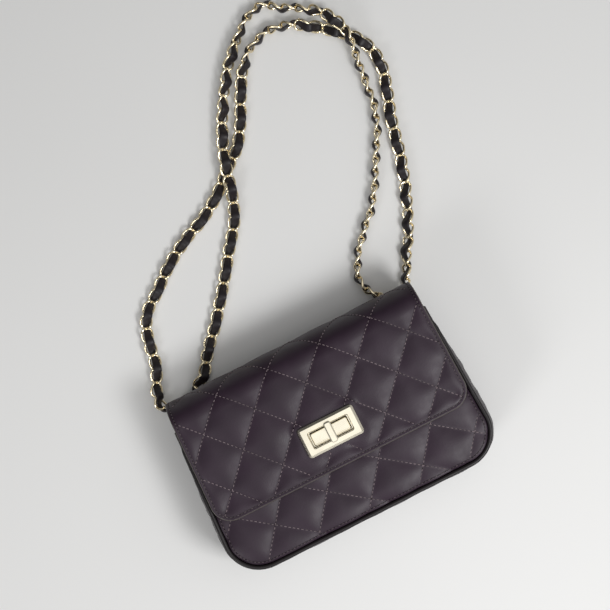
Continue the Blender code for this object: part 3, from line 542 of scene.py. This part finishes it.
def smooth_line(route):
    """Evenly spaced points on a smooth curve through the route."""
    step = 0.5
    points = np.array(route, dtype=float)
    along = distances(points)
    slopes = np.gradient(points, along, axis=0)
    fine = []
    for i in range(len(points) - 1):
        span = along[i + 1] - along[i]
        t = np.linspace(0, 1, 24, endpoint=False)[:, None]
        near = (2 * t**3 - 3 * t**2 + 1) * points[i] + (t**3 - 2 * t**2 + t) * slopes[i] * span
        far = (3 * t**2 - 2 * t**3) * points[i + 1] + (t**3 - t**2) * slopes[i + 1] * span
        fine.append(near + far)
    fine = np.vstack([*fine, points[-1:]])
    lengths = distances(fine)
    count = int(round(lengths[-1] / step)) + 1
    return read_line(np.linspace(0, lengths[-1], count), lengths, fine)


class Strand:
    """The centreline of one run of the chain, with its turn about that line."""

    def __init__(self, route, rolls, passes_over):
        flat = smooth_line(route)
        along = distances(flat)
        nearest = [np.argmin(np.linalg.norm(flat - np.array(at), axis=1)) for at, _ in rolls]
        places = along[nearest]
        places[0], places[-1] = 0.0, along[-1]
        roll = np.interp(along, places, [math.radians(turn) for _, turn in rolls])
        reach = 9
        kernel = np.hanning(2 * reach + 1)
        kernel /= kernel.sum()
        roll = np.convolve(np.pad(roll, reach, mode="edge"), kernel, mode="valid")
        height = FLAT_HEIGHT * np.abs(np.cos(roll)) + EDGE_HEIGHT * np.abs(np.sin(roll)) + FLOOR_GAP
        if passes_over:
            for crossing in CROSSINGS:
                away = np.linalg.norm(flat - np.array(crossing), axis=1)
                near = np.clip(away / CROSSING_REACH, 0, 1)
                height += CROSSING_RISE * np.cos(math.pi / 2 * near) ** 2
        self.line = np.c_[flat, height]
        self.along = distances(self.line)
        self.length = self.along[-1]
        self.tangent = unit(np.gradient(self.line, self.along, axis=0))
        self.roll = roll

    def frames(self, places):
        """Points and three directions at distances along the strand, or just beyond its ends."""
        places = np.atleast_1d(places)
        inside = np.clip(places, 0, self.length)
        tangent = unit(read_line(inside, self.along, self.tangent))
        ends = tangent * (places - inside)[:, None]
        point = read_line(inside, self.along, self.line) + ends
        roll = np.interp(inside, self.along, self.roll)[:, None]
        level = unit(np.cross([0.0, 0.0, 1.0], tangent))
        upward = np.cross(tangent, level)
        side = level * np.cos(roll) + upward * np.sin(roll)
        up = upward * np.cos(roll) - level * np.sin(roll)
        return point, tangent, side, up


def squared(wave, power):
    """A sine or cosine with its sign kept and its size to a power, for a squarer oval."""
    return np.sign(wave) * np.abs(wave) ** power


def chain_link(strand, middle):
    """One twisted oval link, laid along the strand and bent part of the way with it."""
    turns = np.linspace(0, 2 * math.pi, 36, endpoint=False)
    along = (LINK_LENGTH / 2 - LINK_WIRE) * squared(np.cos(turns), 0.92)
    side = (LINK_WIDTH / 2 - LINK_WIRE) * np.sin(turns)
    up = LINK_TWIST * np.sin(2 * turns)
    point, tangent, across, above = strand.frames(middle)
    straight = point + tangent * along[:, None]
    line = straight + across * side[:, None] + above * up[:, None]
    line += (strand.frames(middle + along)[0] - straight) * LINK_BEND
    return tube(line, LINK_WIRE, 9, closed=True)


def lace(strand, phase, pitch):
    """A leather lace that passes over one link crossing and under the next, broader on top."""
    places = np.arange(LACE_END, strand.length - LACE_END, LACE_STEP)
    point, tangent, side, up = strand.frames(places)
    wave = np.cos(math.pi * (places - phase) / pitch)
    above = 0.5 - 0.5 * wave
    from_end = np.minimum(places, strand.length - places)
    narrowing = 0.35 + 0.65 * smoothstep(0.0, LACE_TAPER, from_end)
    # Half of its width and of its thickness, which is least where it passes through a link
    wide = (2.0 + 1.15 * above**0.8) * narrowing
    thick = (0.75 + 0.35 * np.abs(wave) ** 1.5) * narrowing
    centre = point - up * (LACE_SWING * wave)[:, None] + side * (LACE_SHIFT * above)[:, None]
    turns = np.linspace(0, 2 * math.pi, 16, endpoint=False)
    shape_x, shape_y = squared(np.cos(turns), 0.7), squared(np.sin(turns), 0.7)
    rings = (
        centre[:, None, :]
        + side[:, None, :] * (wide[:, None] * shape_x)[:, :, None]
        + up[:, None, :] * (thick[:, None] * shape_y)[:, :, None]
    )
    return rings.reshape(-1, 3), ring_faces(*rings.shape[:2])


def chain_strand(name, node, route, rolls, passes_over):
    """One run of the chain with its lace, whose pitch is fitted to a whole number of links."""
    strand = Strand(route, rolls, passes_over)
    built = Builder()
    linked = strand.length - 2 * LINK_START
    count = int(round(linked / LINK_PITCH))
    pitch = linked / count
    for i in range(count + 1):
        built.add(*chain_link(strand, LINK_START + i * pitch), 0)
    built.add(*lace(strand, LINK_START + pitch / 2, pitch), 1)
    made = face_outwards(built.make(name, [CHAIN_GOLD, LACE]))
    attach(made, "root")
    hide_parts(node)


chain_strand("chain_over", "strap_strand_over", OVER_ROUTE, OVER_ROLL, True)
chain_strand("chain_under", "strap_strand_under", UNDER_ROUTE, UNDER_ROLL, False)


# Quilting


def simulated_pillows():
    """Heights of a stitched sheet blown up between its seams, as a grid along the two seam ways."""
    count = CELLS * CELL_STEPS + 1
    scale = 0.01  # ten times its real size, where the solver is steadier
    first, second = (np.array(step) * scale for step in FLAP_LATTICE[1:])
    points = []
    pins = []
    for i in range(count):
        for j in range(count):
            place = first * i / CELL_STEPS + second * j / CELL_STEPS
            if i % CELL_STEPS == 0 or j % CELL_STEPS == 0:
                lift = 0.0
                pins.append(i * count + j)
            else:
                lift = random.uniform(0.002, 0.006)
            points.append((place[0], place[1], lift))
    faces = []
    for i in range(count - 1):
        for j in range(count - 1):
            a = i * count + j
            faces.append((a, a + 1, a + count + 1, a + count))
    mesh = bpy.data.meshes.new("pillow_sheet")
    mesh.from_pydata(points, [], faces)
    sheet = link("pillow_sheet", mesh)
    sheet.vertex_groups.new(name="seams").add(pins, 1.0, "REPLACE")
    if mesh.polygons[0].normal.z < 0:
        mesh.flip_normals()
    modifier = sheet.modifiers.new("inflate", "CLOTH")
    settings = modifier.settings
    settings.quality = 6
    settings.mass = 0.25
    settings.tension_stiffness = 18
    settings.compression_stiffness = 18
    settings.shear_stiffness = 6
    settings.bending_stiffness = 1.5
    settings.vertex_group_mass = "seams"
    settings.shrink_min = -0.025
    settings.use_pressure = True
    settings.uniform_pressure_force = 6.0
    settings.effector_weights.gravity = 0
    modifier.collision_settings.use_collision = False
    last_frame = 22
    modifier.point_cache.frame_start = 1
    modifier.point_cache.frame_end = last_frame + 2
    scene = bpy.context.scene
    for frame_number in range(1, last_frame + 1):
        scene.frame_set(frame_number)
    shaped = sheet.evaluated_get(bpy.context.evaluated_depsgraph_get())
    heights = np.array([v.co.z for v in shaped.data.vertices]).reshape(count, count)
    bpy.data.objects.remove(sheet, do_unlink=True)
    scene.frame_set(1)
    heights = np.clip(heights[:-1, :-1], 0, None)
    seams = heights == 0
    for _ in range(2):
        for axis in (0, 1):
            heights = (np.roll(heights, 1, axis) + 2 * heights + np.roll(heights, -1, axis)) / 4
        heights[seams] = 0
    return heights / np.percentile(heights, 97)


HEIGHTS = simulated_pillows()


def seam_places(lattice, x, y):
    """How many seams of each way lie between a point and the lattice's crossing."""
    (cx, cy), (ax, ay), (bx, by) = lattice
    size = ax * by - ay * bx
    dx, dy = x - cx, y - cy
    return (dx * by - dy * bx) / size, (ax * dy - ay * dx) / size


def pillow(lattice, x, y):
    """The quilting's height over its seams, from 0 to about 1."""
    p, q = seam_places(lattice, x, y)
    size = CELLS * CELL_STEPS
    u, v = np.mod(p, CELLS) * CELL_STEPS, np.mod(q, CELLS) * CELL_STEPS
    i, j = np.floor(u).astype(int) % size, np.floor(v).astype(int) % size
    s, t = u - np.floor(u), v - np.floor(v)
    next_i, next_j = (i + 1) % size, (j + 1) % size
    return (
        HEIGHTS[i, j] * (1 - s) * (1 - t)
        + HEIGHTS[next_i, j] * s * (1 - t)
        + HEIGHTS[i, next_j] * (1 - s) * t
        + HEIGHTS[next_i, next_j] * s * t
    )


def waviness(x, y, size, seed):
    """A soft unevenness, mostly between -1 and 1."""
    total = np.zeros_like(x, dtype=float)
    generator = random.Random(seed)
    for _ in range(5):
        angle = generator.uniform(0, math.pi)
        phase = generator.uniform(0, 2 * math.pi)
        scale = generator.uniform(0.7, 1.5) * 2 * math.pi / size
        total += np.sin((x * math.cos(angle) + y * math.sin(angle)) * scale + phase)
    return total / 3.2


# Outlines


# A panel's facts: its base, top, half width at the top, half width at the base, corner radius
FLAP_FACTS = (HEM_Y, FOLD_Y, FLAP_HALF, HEM_HALF, HEM_CORNER)
BODY_FACTS = (BASE_Y, PANEL_TOP_Y, TOP_HALF, BASE_HALF, BASE_CORNER)
EDGE_STEPS = (0.0, 0.12, 0.35, 0.7, 1.1, 1.6)


def corner_facts(base_y, top_y, top_half, base_half, corner):
    """How much a panel's right side leans, and the centre of the corner below it."""
    lean = math.atan2(base_half - top_half, top_y - base_y)
    centre_y = base_y + corner
    centre_x = top_half + (top_y - centre_y) * math.tan(lean) - corner / math.cos(lean)
    return lean, centre_x, centre_y


def sack_distance(x, y, *facts):
    """How far inside a panel's sides, base and lower corners a point is; its top is left open."""
    base_y, top_y, top_half, _, corner = facts
    lean, centre_x, centre_y = corner_facts(*facts)
    u = np.abs(x)
    side = (top_half + (top_y - y) * math.tan(lean) - u) * math.cos(lean)
    round_corner = corner - np.hypot(u - centre_x, y - centre_y)
    inside = np.minimum(side, y - base_y)
    return np.where((u > centre_x) & (y < centre_y), np.minimum(inside, round_corner), inside)


def sack_half(y, *facts):
    """Half of a panel's width at a height."""
    _, top_y, top_half, _, corner = facts
    lean, centre_x, centre_y = corner_facts(*facts)
    straight = top_half + (top_y - y) * math.tan(lean)
    drop = np.clip(centre_y - y, 0, corner)
    return np.minimum(straight, centre_x + np.sqrt(corner**2 - drop**2))


def lock_distance(x, y, half):
    """How far outside a rectangle round the lock a point is."""
    out_x = np.maximum(np.abs(x) - half[0], 0)
    out_y = np.maximum(np.abs(y - LOCK_Y) - half[1], 0)
    return np.hypot(out_x, out_y)


def clear_of_lock(x, y, half):
    """Whether points are outside a rectangle round the lock."""
    return (np.abs(x) > half[0]) | (np.abs(y - LOCK_Y) > half[1])


def rows_up(base, corner, corner_rows, top, step):
    """Places up a panel, closer together along its base and in its corners."""
    turns = np.linspace(math.asin((corner - EDGE_STEPS[-1]) / corner), 0, corner_rows)[1:]
    bend = base + corner - corner * np.sin(turns)
    rest = np.arange(bend[-1] + step, top, step)
    return np.r_[base + np.array(EDGE_STEPS), bend, rest, top]


def grid_across(halves, step):
    """Places across each row, crowded along both edges."""
    offsets = np.array(EDGE_STEPS)
    count = int(2 * (np.max(halves) - offsets[-1]) / step)
    share = np.linspace(-1, 1, count + 1)[1:-1]
    rows = []
    for half in halves:
        inner = half - offsets[-1]
        rows.append(np.r_[-half + offsets, share * inner, half - offsets[::-1]])
    return np.array(rows)


def closed_sheet(name, outer, inner, materials, keep=None, outer_index=None):
    """A closed body between two grids of points; keep says which cells it has.

    The first material is the outer face's, the second the rim's and the last the inner face's.
    """
    rows, columns = outer.shape[:2]
    size = rows * columns
    cells = (rows - 1, columns - 1)
    keep = np.ones(cells, bool) if keep is None else keep
    outer_index = np.zeros(cells, int) if outer_index is None else outer_index
    rim_index = min(1, len(materials) - 1)
    faces = []
    indices = []

    def kept(i, j):
        return 0 <= i < cells[0] and 0 <= j < cells[1] and keep[i, j]

    for i, j in zip(*np.nonzero(keep)):
        a = int(i * columns + j)
        b, c, d = a + 1, a + columns + 1, a + columns
        faces += [(a, b, c, d), (d + size, c + size, b + size, a + size)]
        indices += [int(outer_index[i, j]), len(materials) - 1]
        sides = {(i - 1, j): (b, a), (i + 1, j): (d, c), (i, j - 1): (a, d), (i, j + 1): (c, b)}
        for beside, (m, n) in sides.items():
            if not kept(*beside):
                faces.append((n, m, m + size, n + size))
                indices.append(rim_index)
    points = np.vstack([outer.reshape(-1, 3), inner.reshape(-1, 3)])
    made = mesh_piece(name, points, faces, materials, indices)
    shape = bmesh.new()
    shape.from_mesh(made.data)
    bmesh.ops.delete(shape, geom=[v for v in shape.verts if not v.link_faces], context="VERTS")
    bmesh.ops.recalc_face_normals(shape, faces=shape.faces)
    shape.to_mesh(made.data)
    shape.free()
    return made


# Flap. A place on it is x across and v up, from the fold's front end; v is positive on the fold.

ARC_ANGLES = np.linspace(math.pi / 2, -math.radians(70.0), 400)
ARC_POINTS = np.c_[FOLD_REACH * np.cos(ARC_ANGLES), FOLD_RISE * np.sin(ARC_ANGLES)]
ARC_LENGTHS = distances(ARC_POINTS)
ARC_END = ARC_LENGTHS[-1]


def flap_surface(x, v, lift):
    """Points of the flap at places across and up it, raised off its smooth outer face by lift."""
    angle = np.interp(v, ARC_LENGTHS, ARC_ANGLES)
    on_fold = v > 0
    y = np.where(on_fold, FOLD_Y + FOLD_REACH * np.cos(angle), FOLD_Y + v)
    z = np.where(on_fold, FOLD_Z + FOLD_RISE * np.sin(angle), FLAP_Z)
    ny = np.where(on_fold, np.cos(angle) / FOLD_REACH, 0.0)
    nz = np.where(on_fold, np.sin(angle) / FOLD_RISE, 1.0)
    size = np.hypot(ny, nz)
    # Its hem droops, and its corners a little more
    corners = smoothstep(60, 95, np.abs(x)) * smoothstep(5, 40, -v)
    droop = 0.7 * smoothstep(20, 72, -v) + 0.4 * corners
    return np.stack([x, y + lift * ny / size, z + lift * nz / size - droop], axis=-1)


def flap_edge_distance(x, v):
    """How far inside the flap's sides and hem a point is."""
    front = sack_distance(x, FOLD_Y + v, *FLAP_FACTS)
    return np.where(v > 0, FLAP_HALF - np.abs(x), front)


def flap_lift(x, v):
    """The quilting's rise off the flap's outer face, flatter along its edges and by the lock."""
    edge_level, frame_level, groove, edge_radius = -0.35, 0.1, 0.3, 1.1
    y = FOLD_Y + v
    edge = flap_edge_distance(x, v)
    rise = PILLOW * pillow(FLAP_LATTICE, x, y) - SEAM_DEPTH
    rise = rise + UNEVEN * waviness(x, y, 60, 3)
    on_fold = 1 - 0.6 * smoothstep(6.0, 20.0, v)
    rise = edge_level + (rise - edge_level) * smoothstep(1.8, 8.0, edge) * on_fold
    by_frame = smoothstep(0.4, 6.0, lock_distance(x, y, FRAME_HALF))
    rise = frame_level + (rise - frame_level) * by_frame
    rise = rise - groove * np.exp(-((edge - HEM_STITCH_INSET) / 0.8) ** 2)
    rounding = np.clip(1 - edge / edge_radius, 0, 1)
    return rise - edge_radius * (1 - np.sqrt(1 - rounding**2))


def flap_half(v):
    front = sack_half(FOLD_Y + v, *FLAP_FACTS)
    return np.where(v > 0, FLAP_HALF, front)


def bend_flap(made):
    """Bakes a flap piece's placement into its mesh; it is not tied to the front hinge, which is at
    the fold's front end.
    """
    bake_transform(made)


def flap():
    """The quilted outside with its painted edge, and the suede lining inside it."""
    leather_in, lining_out, lining_in, inset = -2.0, -2.1, -3.0, 0.6
    rows = rows_up(-FLAP_DROP, HEM_CORNER, 12, ARC_END, 0.9)
    x = grid_across(flap_half(rows), 0.95)
    v = np.repeat(rows[:, None], x.shape[1], axis=1)
    middle_x, middle_v = cell_middles(x), cell_middles(v)
    outside = clear_of_lock(middle_x, FOLD_Y + middle_v, WINDOW_HALF)
    painted = flap_edge_distance(middle_x, middle_v) < 0.75
    outer, inner = flap_surface(x, v, flap_lift(x, v)), flap_surface(x, v, leather_in)
    made = closed_sheet("flap_leather", outer, inner, [LEATHER, EDGE, SUEDE], outside, painted)
    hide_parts("flap_front_leather", "flap_bridge_leather")
    bend_flap(made)

    x = x * ((flap_half(rows) - inset) / flap_half(rows))[:, None]
    v = np.maximum(v, -FLAP_DROP + inset)
    outer = flap_surface(x, v, lining_out)
    inner = flap_surface(x, v, lining_in - 0.1 * waviness(x, v, 35, 11))
    made = closed_sheet("flap_suede_lining", outer, inner, [SUEDE, EDGE, SUEDE], outside)
    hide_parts("flap_front_lining", "flap_bridge_lining")
    bend_flap(made)


flap()


# Front and back panels


def panel_grid(top_y, step):
    rows = rows_up(BASE_Y, BASE_CORNER, 18, top_y, step)
    x = grid_across(sack_half(rows, *BODY_FACTS), step)
    return x, np.repeat(rows[:, None], x.shape[1], axis=1)


def front_face(x, y):
    """Height of the front panel's outside, level round the lock and rounded off along its edges."""
    round_width, round_drop = 12.0, 2.0
    edge = sack_distance(x, y, *BODY_FACTS)
    top = FRONT_Z - SEAM_DEPTH + PILLOW * pillow(FRONT_LATTICE, x, y)
    top = top + UNEVEN * waviness(x, y, 55, 5) * smoothstep(0, 10, edge)
    rounding = np.clip(1 - edge / round_width, 0, 1)
    top = top - round_drop * (1 - np.sqrt(1 - rounding**2))
    by_lock = smoothstep(0.0, 5.0, lock_distance(x, y, FLANGE_HALF))
    return LOCK_SEAT_Z + (top - LOCK_SEAT_Z) * by_lock


def front_panel():
    x, y = panel_grid(PANEL_TOP_Y, 1.0)
    outer = np.stack([x, y, front_face(x, y)], axis=-1)
    inner = np.stack([x, y, np.full_like(x, FRONT_BACK_Z)], axis=-1)
    keep = clear_of_lock(cell_middles(x), cell_middles(y), FLANGE_HALF)
    made = closed_sheet("quilted_front", outer, inner, [LEATHER], keep)
    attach(made, "root")
    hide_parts("front_panel")


def back_panel():
    """The flat back and the lip that it turns up into, with slots for the ring tabs."""
    floor_gap, groove = 0.05, 0.7
    x, y = panel_grid(LIP_Y, 1.3)
    rise = pillow(BACK_LATTICE, x, y)
    edge = sack_distance(x, y, *BODY_FACTS)
    depth = floor_gap + groove * (1 - np.clip(rise * 1.6, 0, 1)) * smoothstep(1, 8, edge)
    fade = smoothstep(0, 10, LIP_Y - y)
    outer = np.stack([x, y, depth * fade + floor_gap * (1 - fade)], axis=-1)
    inner = np.stack([x, y, np.full_like(x, BACK_THICK)], axis=-1)
    share = x[-1] / sack_half(np.array([LIP_Y]), *BODY_FACTS)[0]
    lean = (BASE_HALF - TOP_HALF) / (PANEL_TOP_Y - BASE_Y)

    def lip(radius):
        rows = []
        for turn in np.linspace(0, math.pi / 2, 15)[1:]:
            place = LIP_Y + radius * math.sin(turn)
            across = share * (TOP_HALF + (PANEL_TOP_Y - place) * lean)
            height = LIP_RADIUS - radius * math.cos(turn)
            rows.append([across, np.full_like(share, place), np.full_like(share, height)])
        return np.moveaxis(np.array(rows), 1, -1)

    outer = np.vstack([outer, lip(LIP_RADIUS)])
    inner = np.vstack([inner, lip(LIP_RADIUS - BACK_THICK)])
    spot = cell_middles(outer)
    in_slot = spot[..., 1] > LIP_Y + 5
    in_slot &= np.abs(np.abs(spot[..., 0]) - RING_PLACE[0]) < TAB_SLOT_HALF[0]
    in_slot &= np.abs(spot[..., 2] - RING_PLACE[2]) < TAB_SLOT_HALF[1]
    made = closed_sheet("quilted_back", outer, inner, [LEATHER], ~in_slot)
    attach(made, "root")
    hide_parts("back_panel")


front_panel()
back_panel()


# Gusset and piping


def body_line(top_y):
    """Points and outward directions round the body's sides and base, from the right to the left."""
    side_steps, corner_steps, base_steps = 60, 26, 80
    lean, centre_x, centre_y = corner_facts(*BODY_FACTS)
    right = []
    low = centre_y + BASE_CORNER * math.sin(lean)
    for step in range(side_steps):
        y = top_y + (low - top_y) * step / side_steps
        x = TOP_HALF + (PANEL_TOP_Y - y) * math.tan(lean)
        right.append((x, y, math.cos(lean), math.sin(lean)))
    for step in range(corner_steps + 1):
        angle = lean - (lean + math.pi / 2) * step / corner_steps
        nx, ny = math.cos(angle), math.sin(angle)
        right.append((centre_x + BASE_CORNER * nx, centre_y + BASE_CORNER * ny, nx, ny))
    across = [centre_x * (1 - 2 * step / base_steps) for step in range(1, base_steps)]
    base = [(x, BASE_Y, 0.0, -1.0) for x in across]
    left = [(-x, y, -nx, ny) for x, y, nx, ny in reversed(right)]
    return np.array(right + base + left)


def piping(name, node, height, top_y, seed):
    """The cord along a seam, thinner and tucked in at its two ends."""
    line = body_line(top_y)
    wobble = 0.12 * waviness(line[:, 0], line[:, 1], 30, seed)
    free = smoothstep(0, 16, top_y - line[:, 1])
    out = SEAM_OUT * free - 0.9 * (1 - free) + 0.4 * wobble
    points = np.c_[line[:, :2] + line[:, 2:] * out[:, None], height + wobble]
    radius = 1.1 + 0.38 * free + 0.3 * wobble
    made = face_outwards(mesh_piece(name, *tube(points, radius, 16), [CORD]))
    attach(made, "root")
    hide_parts(node)


def gusset():
    """The strip round the sides and base, which bellies out between its seams."""
    low, high, belly, half_thick, full_drop = 3.3, 46.0, 3.6, 1.0, 48.6
    shares = np.linspace(0, 1, 30)
    outer, inner = [], []
    for x, y, nx, ny in body_line(SIDE_TOP_Y):
        down = min(1.0, (SIDE_TOP_Y - y) / full_drop)
        fullness = 0.15 + 0.85 * down * down * (3 - 2 * down)
        around = x + 2.0 * y
        crease = 0.35 * math.sin(around * 0.21 + 1.0) * math.sin(around * 0.083) * fullness
        bulge = (belly * fullness + crease) * np.sin(math.pi * shares)
        for rows, half in ((outer, half_thick), (inner, -half_thick)):
            out = SEAM_OUT + bulge + half
            height = low + (high - low) * shares
            rows.append(np.stack([x + out * nx, y + out * ny, height], axis=-1))
    made = closed_sheet("gusset_strip", np.array(outer), np.array(inner), [PLAIN])
    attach(made, "root")
    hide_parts("gusset")


piping("front_piping", "piping_front", 47.8, SIDE_TOP_Y, 12)
piping("back_piping", "piping_back", 1.5, 43.0, 11)
gusset()


# Hardware, tabs and inner pieces


def refined(node, name, material, body, bevel):
    """A rounded copy of a CAD piece, which takes its place."""
    made = link(name, frame["nodes"][node].data.copy())
    made.data.materials.clear()
    made.data.materials.append(material)
    modifier = made.modifiers.new("round", "BEVEL")
    modifier.width = bevel
    modifier.segments = 3
    modifier.limit_method = "ANGLE"
    modifier.angle_limit = math.radians(30)
    shaped = made.evaluated_get(bpy.context.evaluated_depsgraph_get())
    mesh = bpy.data.meshes.new_from_object(shaped)
    made.modifiers.clear()
    made.data = mesh
    mesh.polygons.foreach_set("use_smooth", np.full(len(mesh.polygons), True))
    mesh.set_sharp_from_angle(angle=math.radians(40))
    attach(made, body)
    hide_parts(node)


refined("lock_frame", "gold_frame", GOLD, "flap_front", 0.00018)
refined("lock_base", "gold_base", GOLD, "root", 0.00012)
refined("turn_bar", "gold_bar", GOLD, "turn_bar", 0.0002)
refined("left_ring_tab", "left_tab", PLAIN, "root", 0.0004)
refined("right_ring_tab", "right_tab", PLAIN, "root", 0.0004)
refined("lining", "lining_tub", CLOTH, "root", 0.0004)
refined("slip_pocket", "pocket", CLOTH, "root", 0.0002)


def d_ring(name, node, body, side):
    """A round wire bent into a D."""
    bend, corner, wire = 8.6, 2.0, 1.1
    reach = math.sqrt((bend - corner) ** 2 - corner**2)
    meet = math.atan2(corner, reach)
    points = arc(0.0, 0.0, bend, np.linspace(meet, math.pi - meet, 48))
    points += arc(-reach, corner, corner, np.linspace(math.pi - meet, 1.5 * math.pi, 10)[1:])
    points += arc(reach, corner, corner, np.linspace(1.5 * math.pi, 2 * math.pi + meet, 10)[:-1])
    line = np.array(points)
    x, y, z = RING_PLACE
    line = np.c_[line[:, 0] + side * x, line[:, 1] + y, np.full(len(line), z)]
    made = face_outwards(mesh_piece(name, *tube(line, wire, 18, closed=True), [GOLD]))
    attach(made, body)
    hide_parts(node)


d_ring("left_ring_wire", "left_d_ring", "left_ring", -1)
d_ring("right_ring_wire", "right_d_ring", "right_ring", 1)

# CAD nodes that stay, in a better material
KEPT = {
    "back_stiffener": BOARD,
    "front_stiffener": BOARD,
    "base_board": BOARD,
    "lock_base_washer": STEEL,
    "lock_frame_backing": STEEL,
}
for node, material in KEPT.items():
    data = frame["nodes"][node].data
    data.materials.clear()
    data.materials.append(material)


# Stitches


def capsule(length, radius, hole):
    """One stitch along X: a short rounded thread, with flat near-black rings at its ends as painted
    shade for the holes that it goes into.
    """
    sides, hole_rings = 8, 3
    turns = np.linspace(0, 2 * math.pi, sides, endpoint=False)
    # Rings from one end to the middle: place in lengths, width and height in radii
    left = [
        (-0.56, 0.6 * hole, 0.4), (-0.49, hole, 0.5), (-0.4, 0.95 * hole, 0.55),
        (-0.37, 0.85, 0.85), (-0.2, 1.0, 1.0),
    ]
    rings = []
    for along, wide, high in left + [(-along, wide, high) for along, wide, high in reversed(left)]:
        rings.append(np.c_[
            np.full(sides, along * length),
            np.cos(turns) * radius * wide,
            np.sin(turns) * radius * high - 0.2 * (2 * along) ** 4,
        ])
    count = len(rings)
    # The rings at each end get the painted shade of the needle holes
    hole_shade = [int(i < hole_rings or i >= count - 1 - hole_rings) for i in range(count - 1)]
    indices = [index for index in hole_shade for _ in range(sides)] + [1, 1]
    return np.vstack(rings), ring_faces(count, sides), indices


SEAM_STITCH = capsule(2.3, 0.28, 1.6)
EDGE_STITCH = capsule(2.1, 0.31, 1.75)


def stitches(name, places, surface, stitch, material, body):
    """Stitches at flat places with flat directions, on a surface that gives points in space."""
    built = Builder()
    shape, faces, indices = stitch
    probe, lift = 0.9, 0.12

    def point(u, v):
        return surface(np.array([u]), np.array([v]))[0]

    for (u, v), (du, dv) in places:
        du, dv = du * probe, dv * probe
        tangent = point(u + du, v + dv) - point(u - du, v - dv)
        tangent /= np.linalg.norm(tangent)
        across = point(u - dv, v + du) - point(u + dv, v - du)
        across -= tangent * (across @ tangent)
        across /= np.linalg.norm(across)
        up = np.cross(tangent, across)
        turned = (
            np.outer(shape[:, 0], tangent) + np.outer(shape[:, 1], across)
            + np.outer(shape[:, 2], up)
        )
        built.add(point(u, v) + up * lift + turned, faces, indices)
    # The second material is the painted shade of the needle holes
    made = face_outwards(built.make(name, [material, HOLE_SHADE]))
    if body == "flap":
        bend_flap(made)
    else:
        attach(made, body)


def lattice_places(lattice, allowed, reach):
    """Stitch places and directions along all seams of a lattice within its reach."""
    (cx, cy), first, second = lattice
    places = []
    for own, other in ((first, second), (second, first)):
        length = math.hypot(*own)
        direction = (own[0] / length, own[1] / length)
        count = int(reach * length / STITCH_PITCH)
        for k in range(-reach, reach + 1):
            start = (cx + k * other[0], cy + k * other[1])
            for m in range(-count, count + 1):
                along = (m + 0.5) * STITCH_PITCH
                u, v = start[0] + direction[0] * along, start[1] + direction[1] * along
                if allowed(u, v):
                    places.append(((u, v), direction))
    return places


def flap_allowed(x, y):
    """Whether a quilting stitch may lie here: on the flap, inside its border and off the frame."""
    v = y - FOLD_Y
    if not -FLAP_DROP < v < ARC_END - 1.5:
        return False
    return flap_edge_distance(x, v) > 3.6 and lock_distance(x, y, FRAME_HALF) > 1.2


def flap_point(x, y):
    v = y - FOLD_Y
    return flap_surface(x, v, flap_lift(x, v))


def front_allowed(x, y):
    """Whether a quilting stitch may lie here: inside the panel's edges and off the flange."""
    inside = sack_distance(x, y, *BODY_FACTS) > 3.0 and y < PANEL_TOP_Y - 3.0
    return inside and clear_of_lock(x, y, FLANGE_CLEAR_HALF)


def front_point(x, y):
    return np.stack([x, y, front_face(x, y)], axis=-1)


def along_line(points, pitch):
    """Even places with directions along a flat line."""
    line = np.asarray(points, dtype=float)
    along = distances(line)
    count = int(along[-1] / pitch)
    places = (np.arange(count) + 0.5) * along[-1] / count
    at = read_line(places, along, line)
    step = unit(read_line(places + 0.5, along, line) - read_line(places - 0.5, along, line))
    return list(zip(map(tuple, at), map(tuple, step)))


def flap_border():
    """The line of the flap's edge stitching, from the right seam round the hem to the left one."""
    lean, centre_x, centre_y = corner_facts(*FLAP_FACTS)
    x = FLAP_HALF - HEM_STITCH_INSET
    radius = HEM_CORNER - HEM_STITCH_INSET
    right = [(x, FOLD_Y + ARC_END - 1.0), (x, FOLD_Y)]
    right += arc(centre_x, centre_y, radius, np.linspace(lean, -math.pi / 2, 24))
    return right + [(-x, y) for x, y in reversed(right)]


flap_places = lattice_places(FLAP_LATTICE, flap_allowed, 6)
stitches("flap_quilt_stitches", flap_places, flap_point, SEAM_STITCH, THREAD, "flap")
border_places = along_line(flap_border(), BORDER_PITCH)
stitches("flap_edge_stitches", border_places, flap_point, EDGE_STITCH, DARK_THREAD, "flap")
front_places = lattice_places(FRONT_LATTICE, front_allowed, 8)
stitches("front_quilt_stitches", front_places, front_point, SEAM_STITCH, THREAD, "root")
edge_line = body_line(44.0)
edge_inset = 1.9
edge_places = along_line(edge_line[:, :2] - edge_line[:, 2:] * edge_inset, BORDER_PITCH)
stitches("front_edge_stitches", edge_places, front_point, EDGE_STITCH, DARK_THREAD, "root")
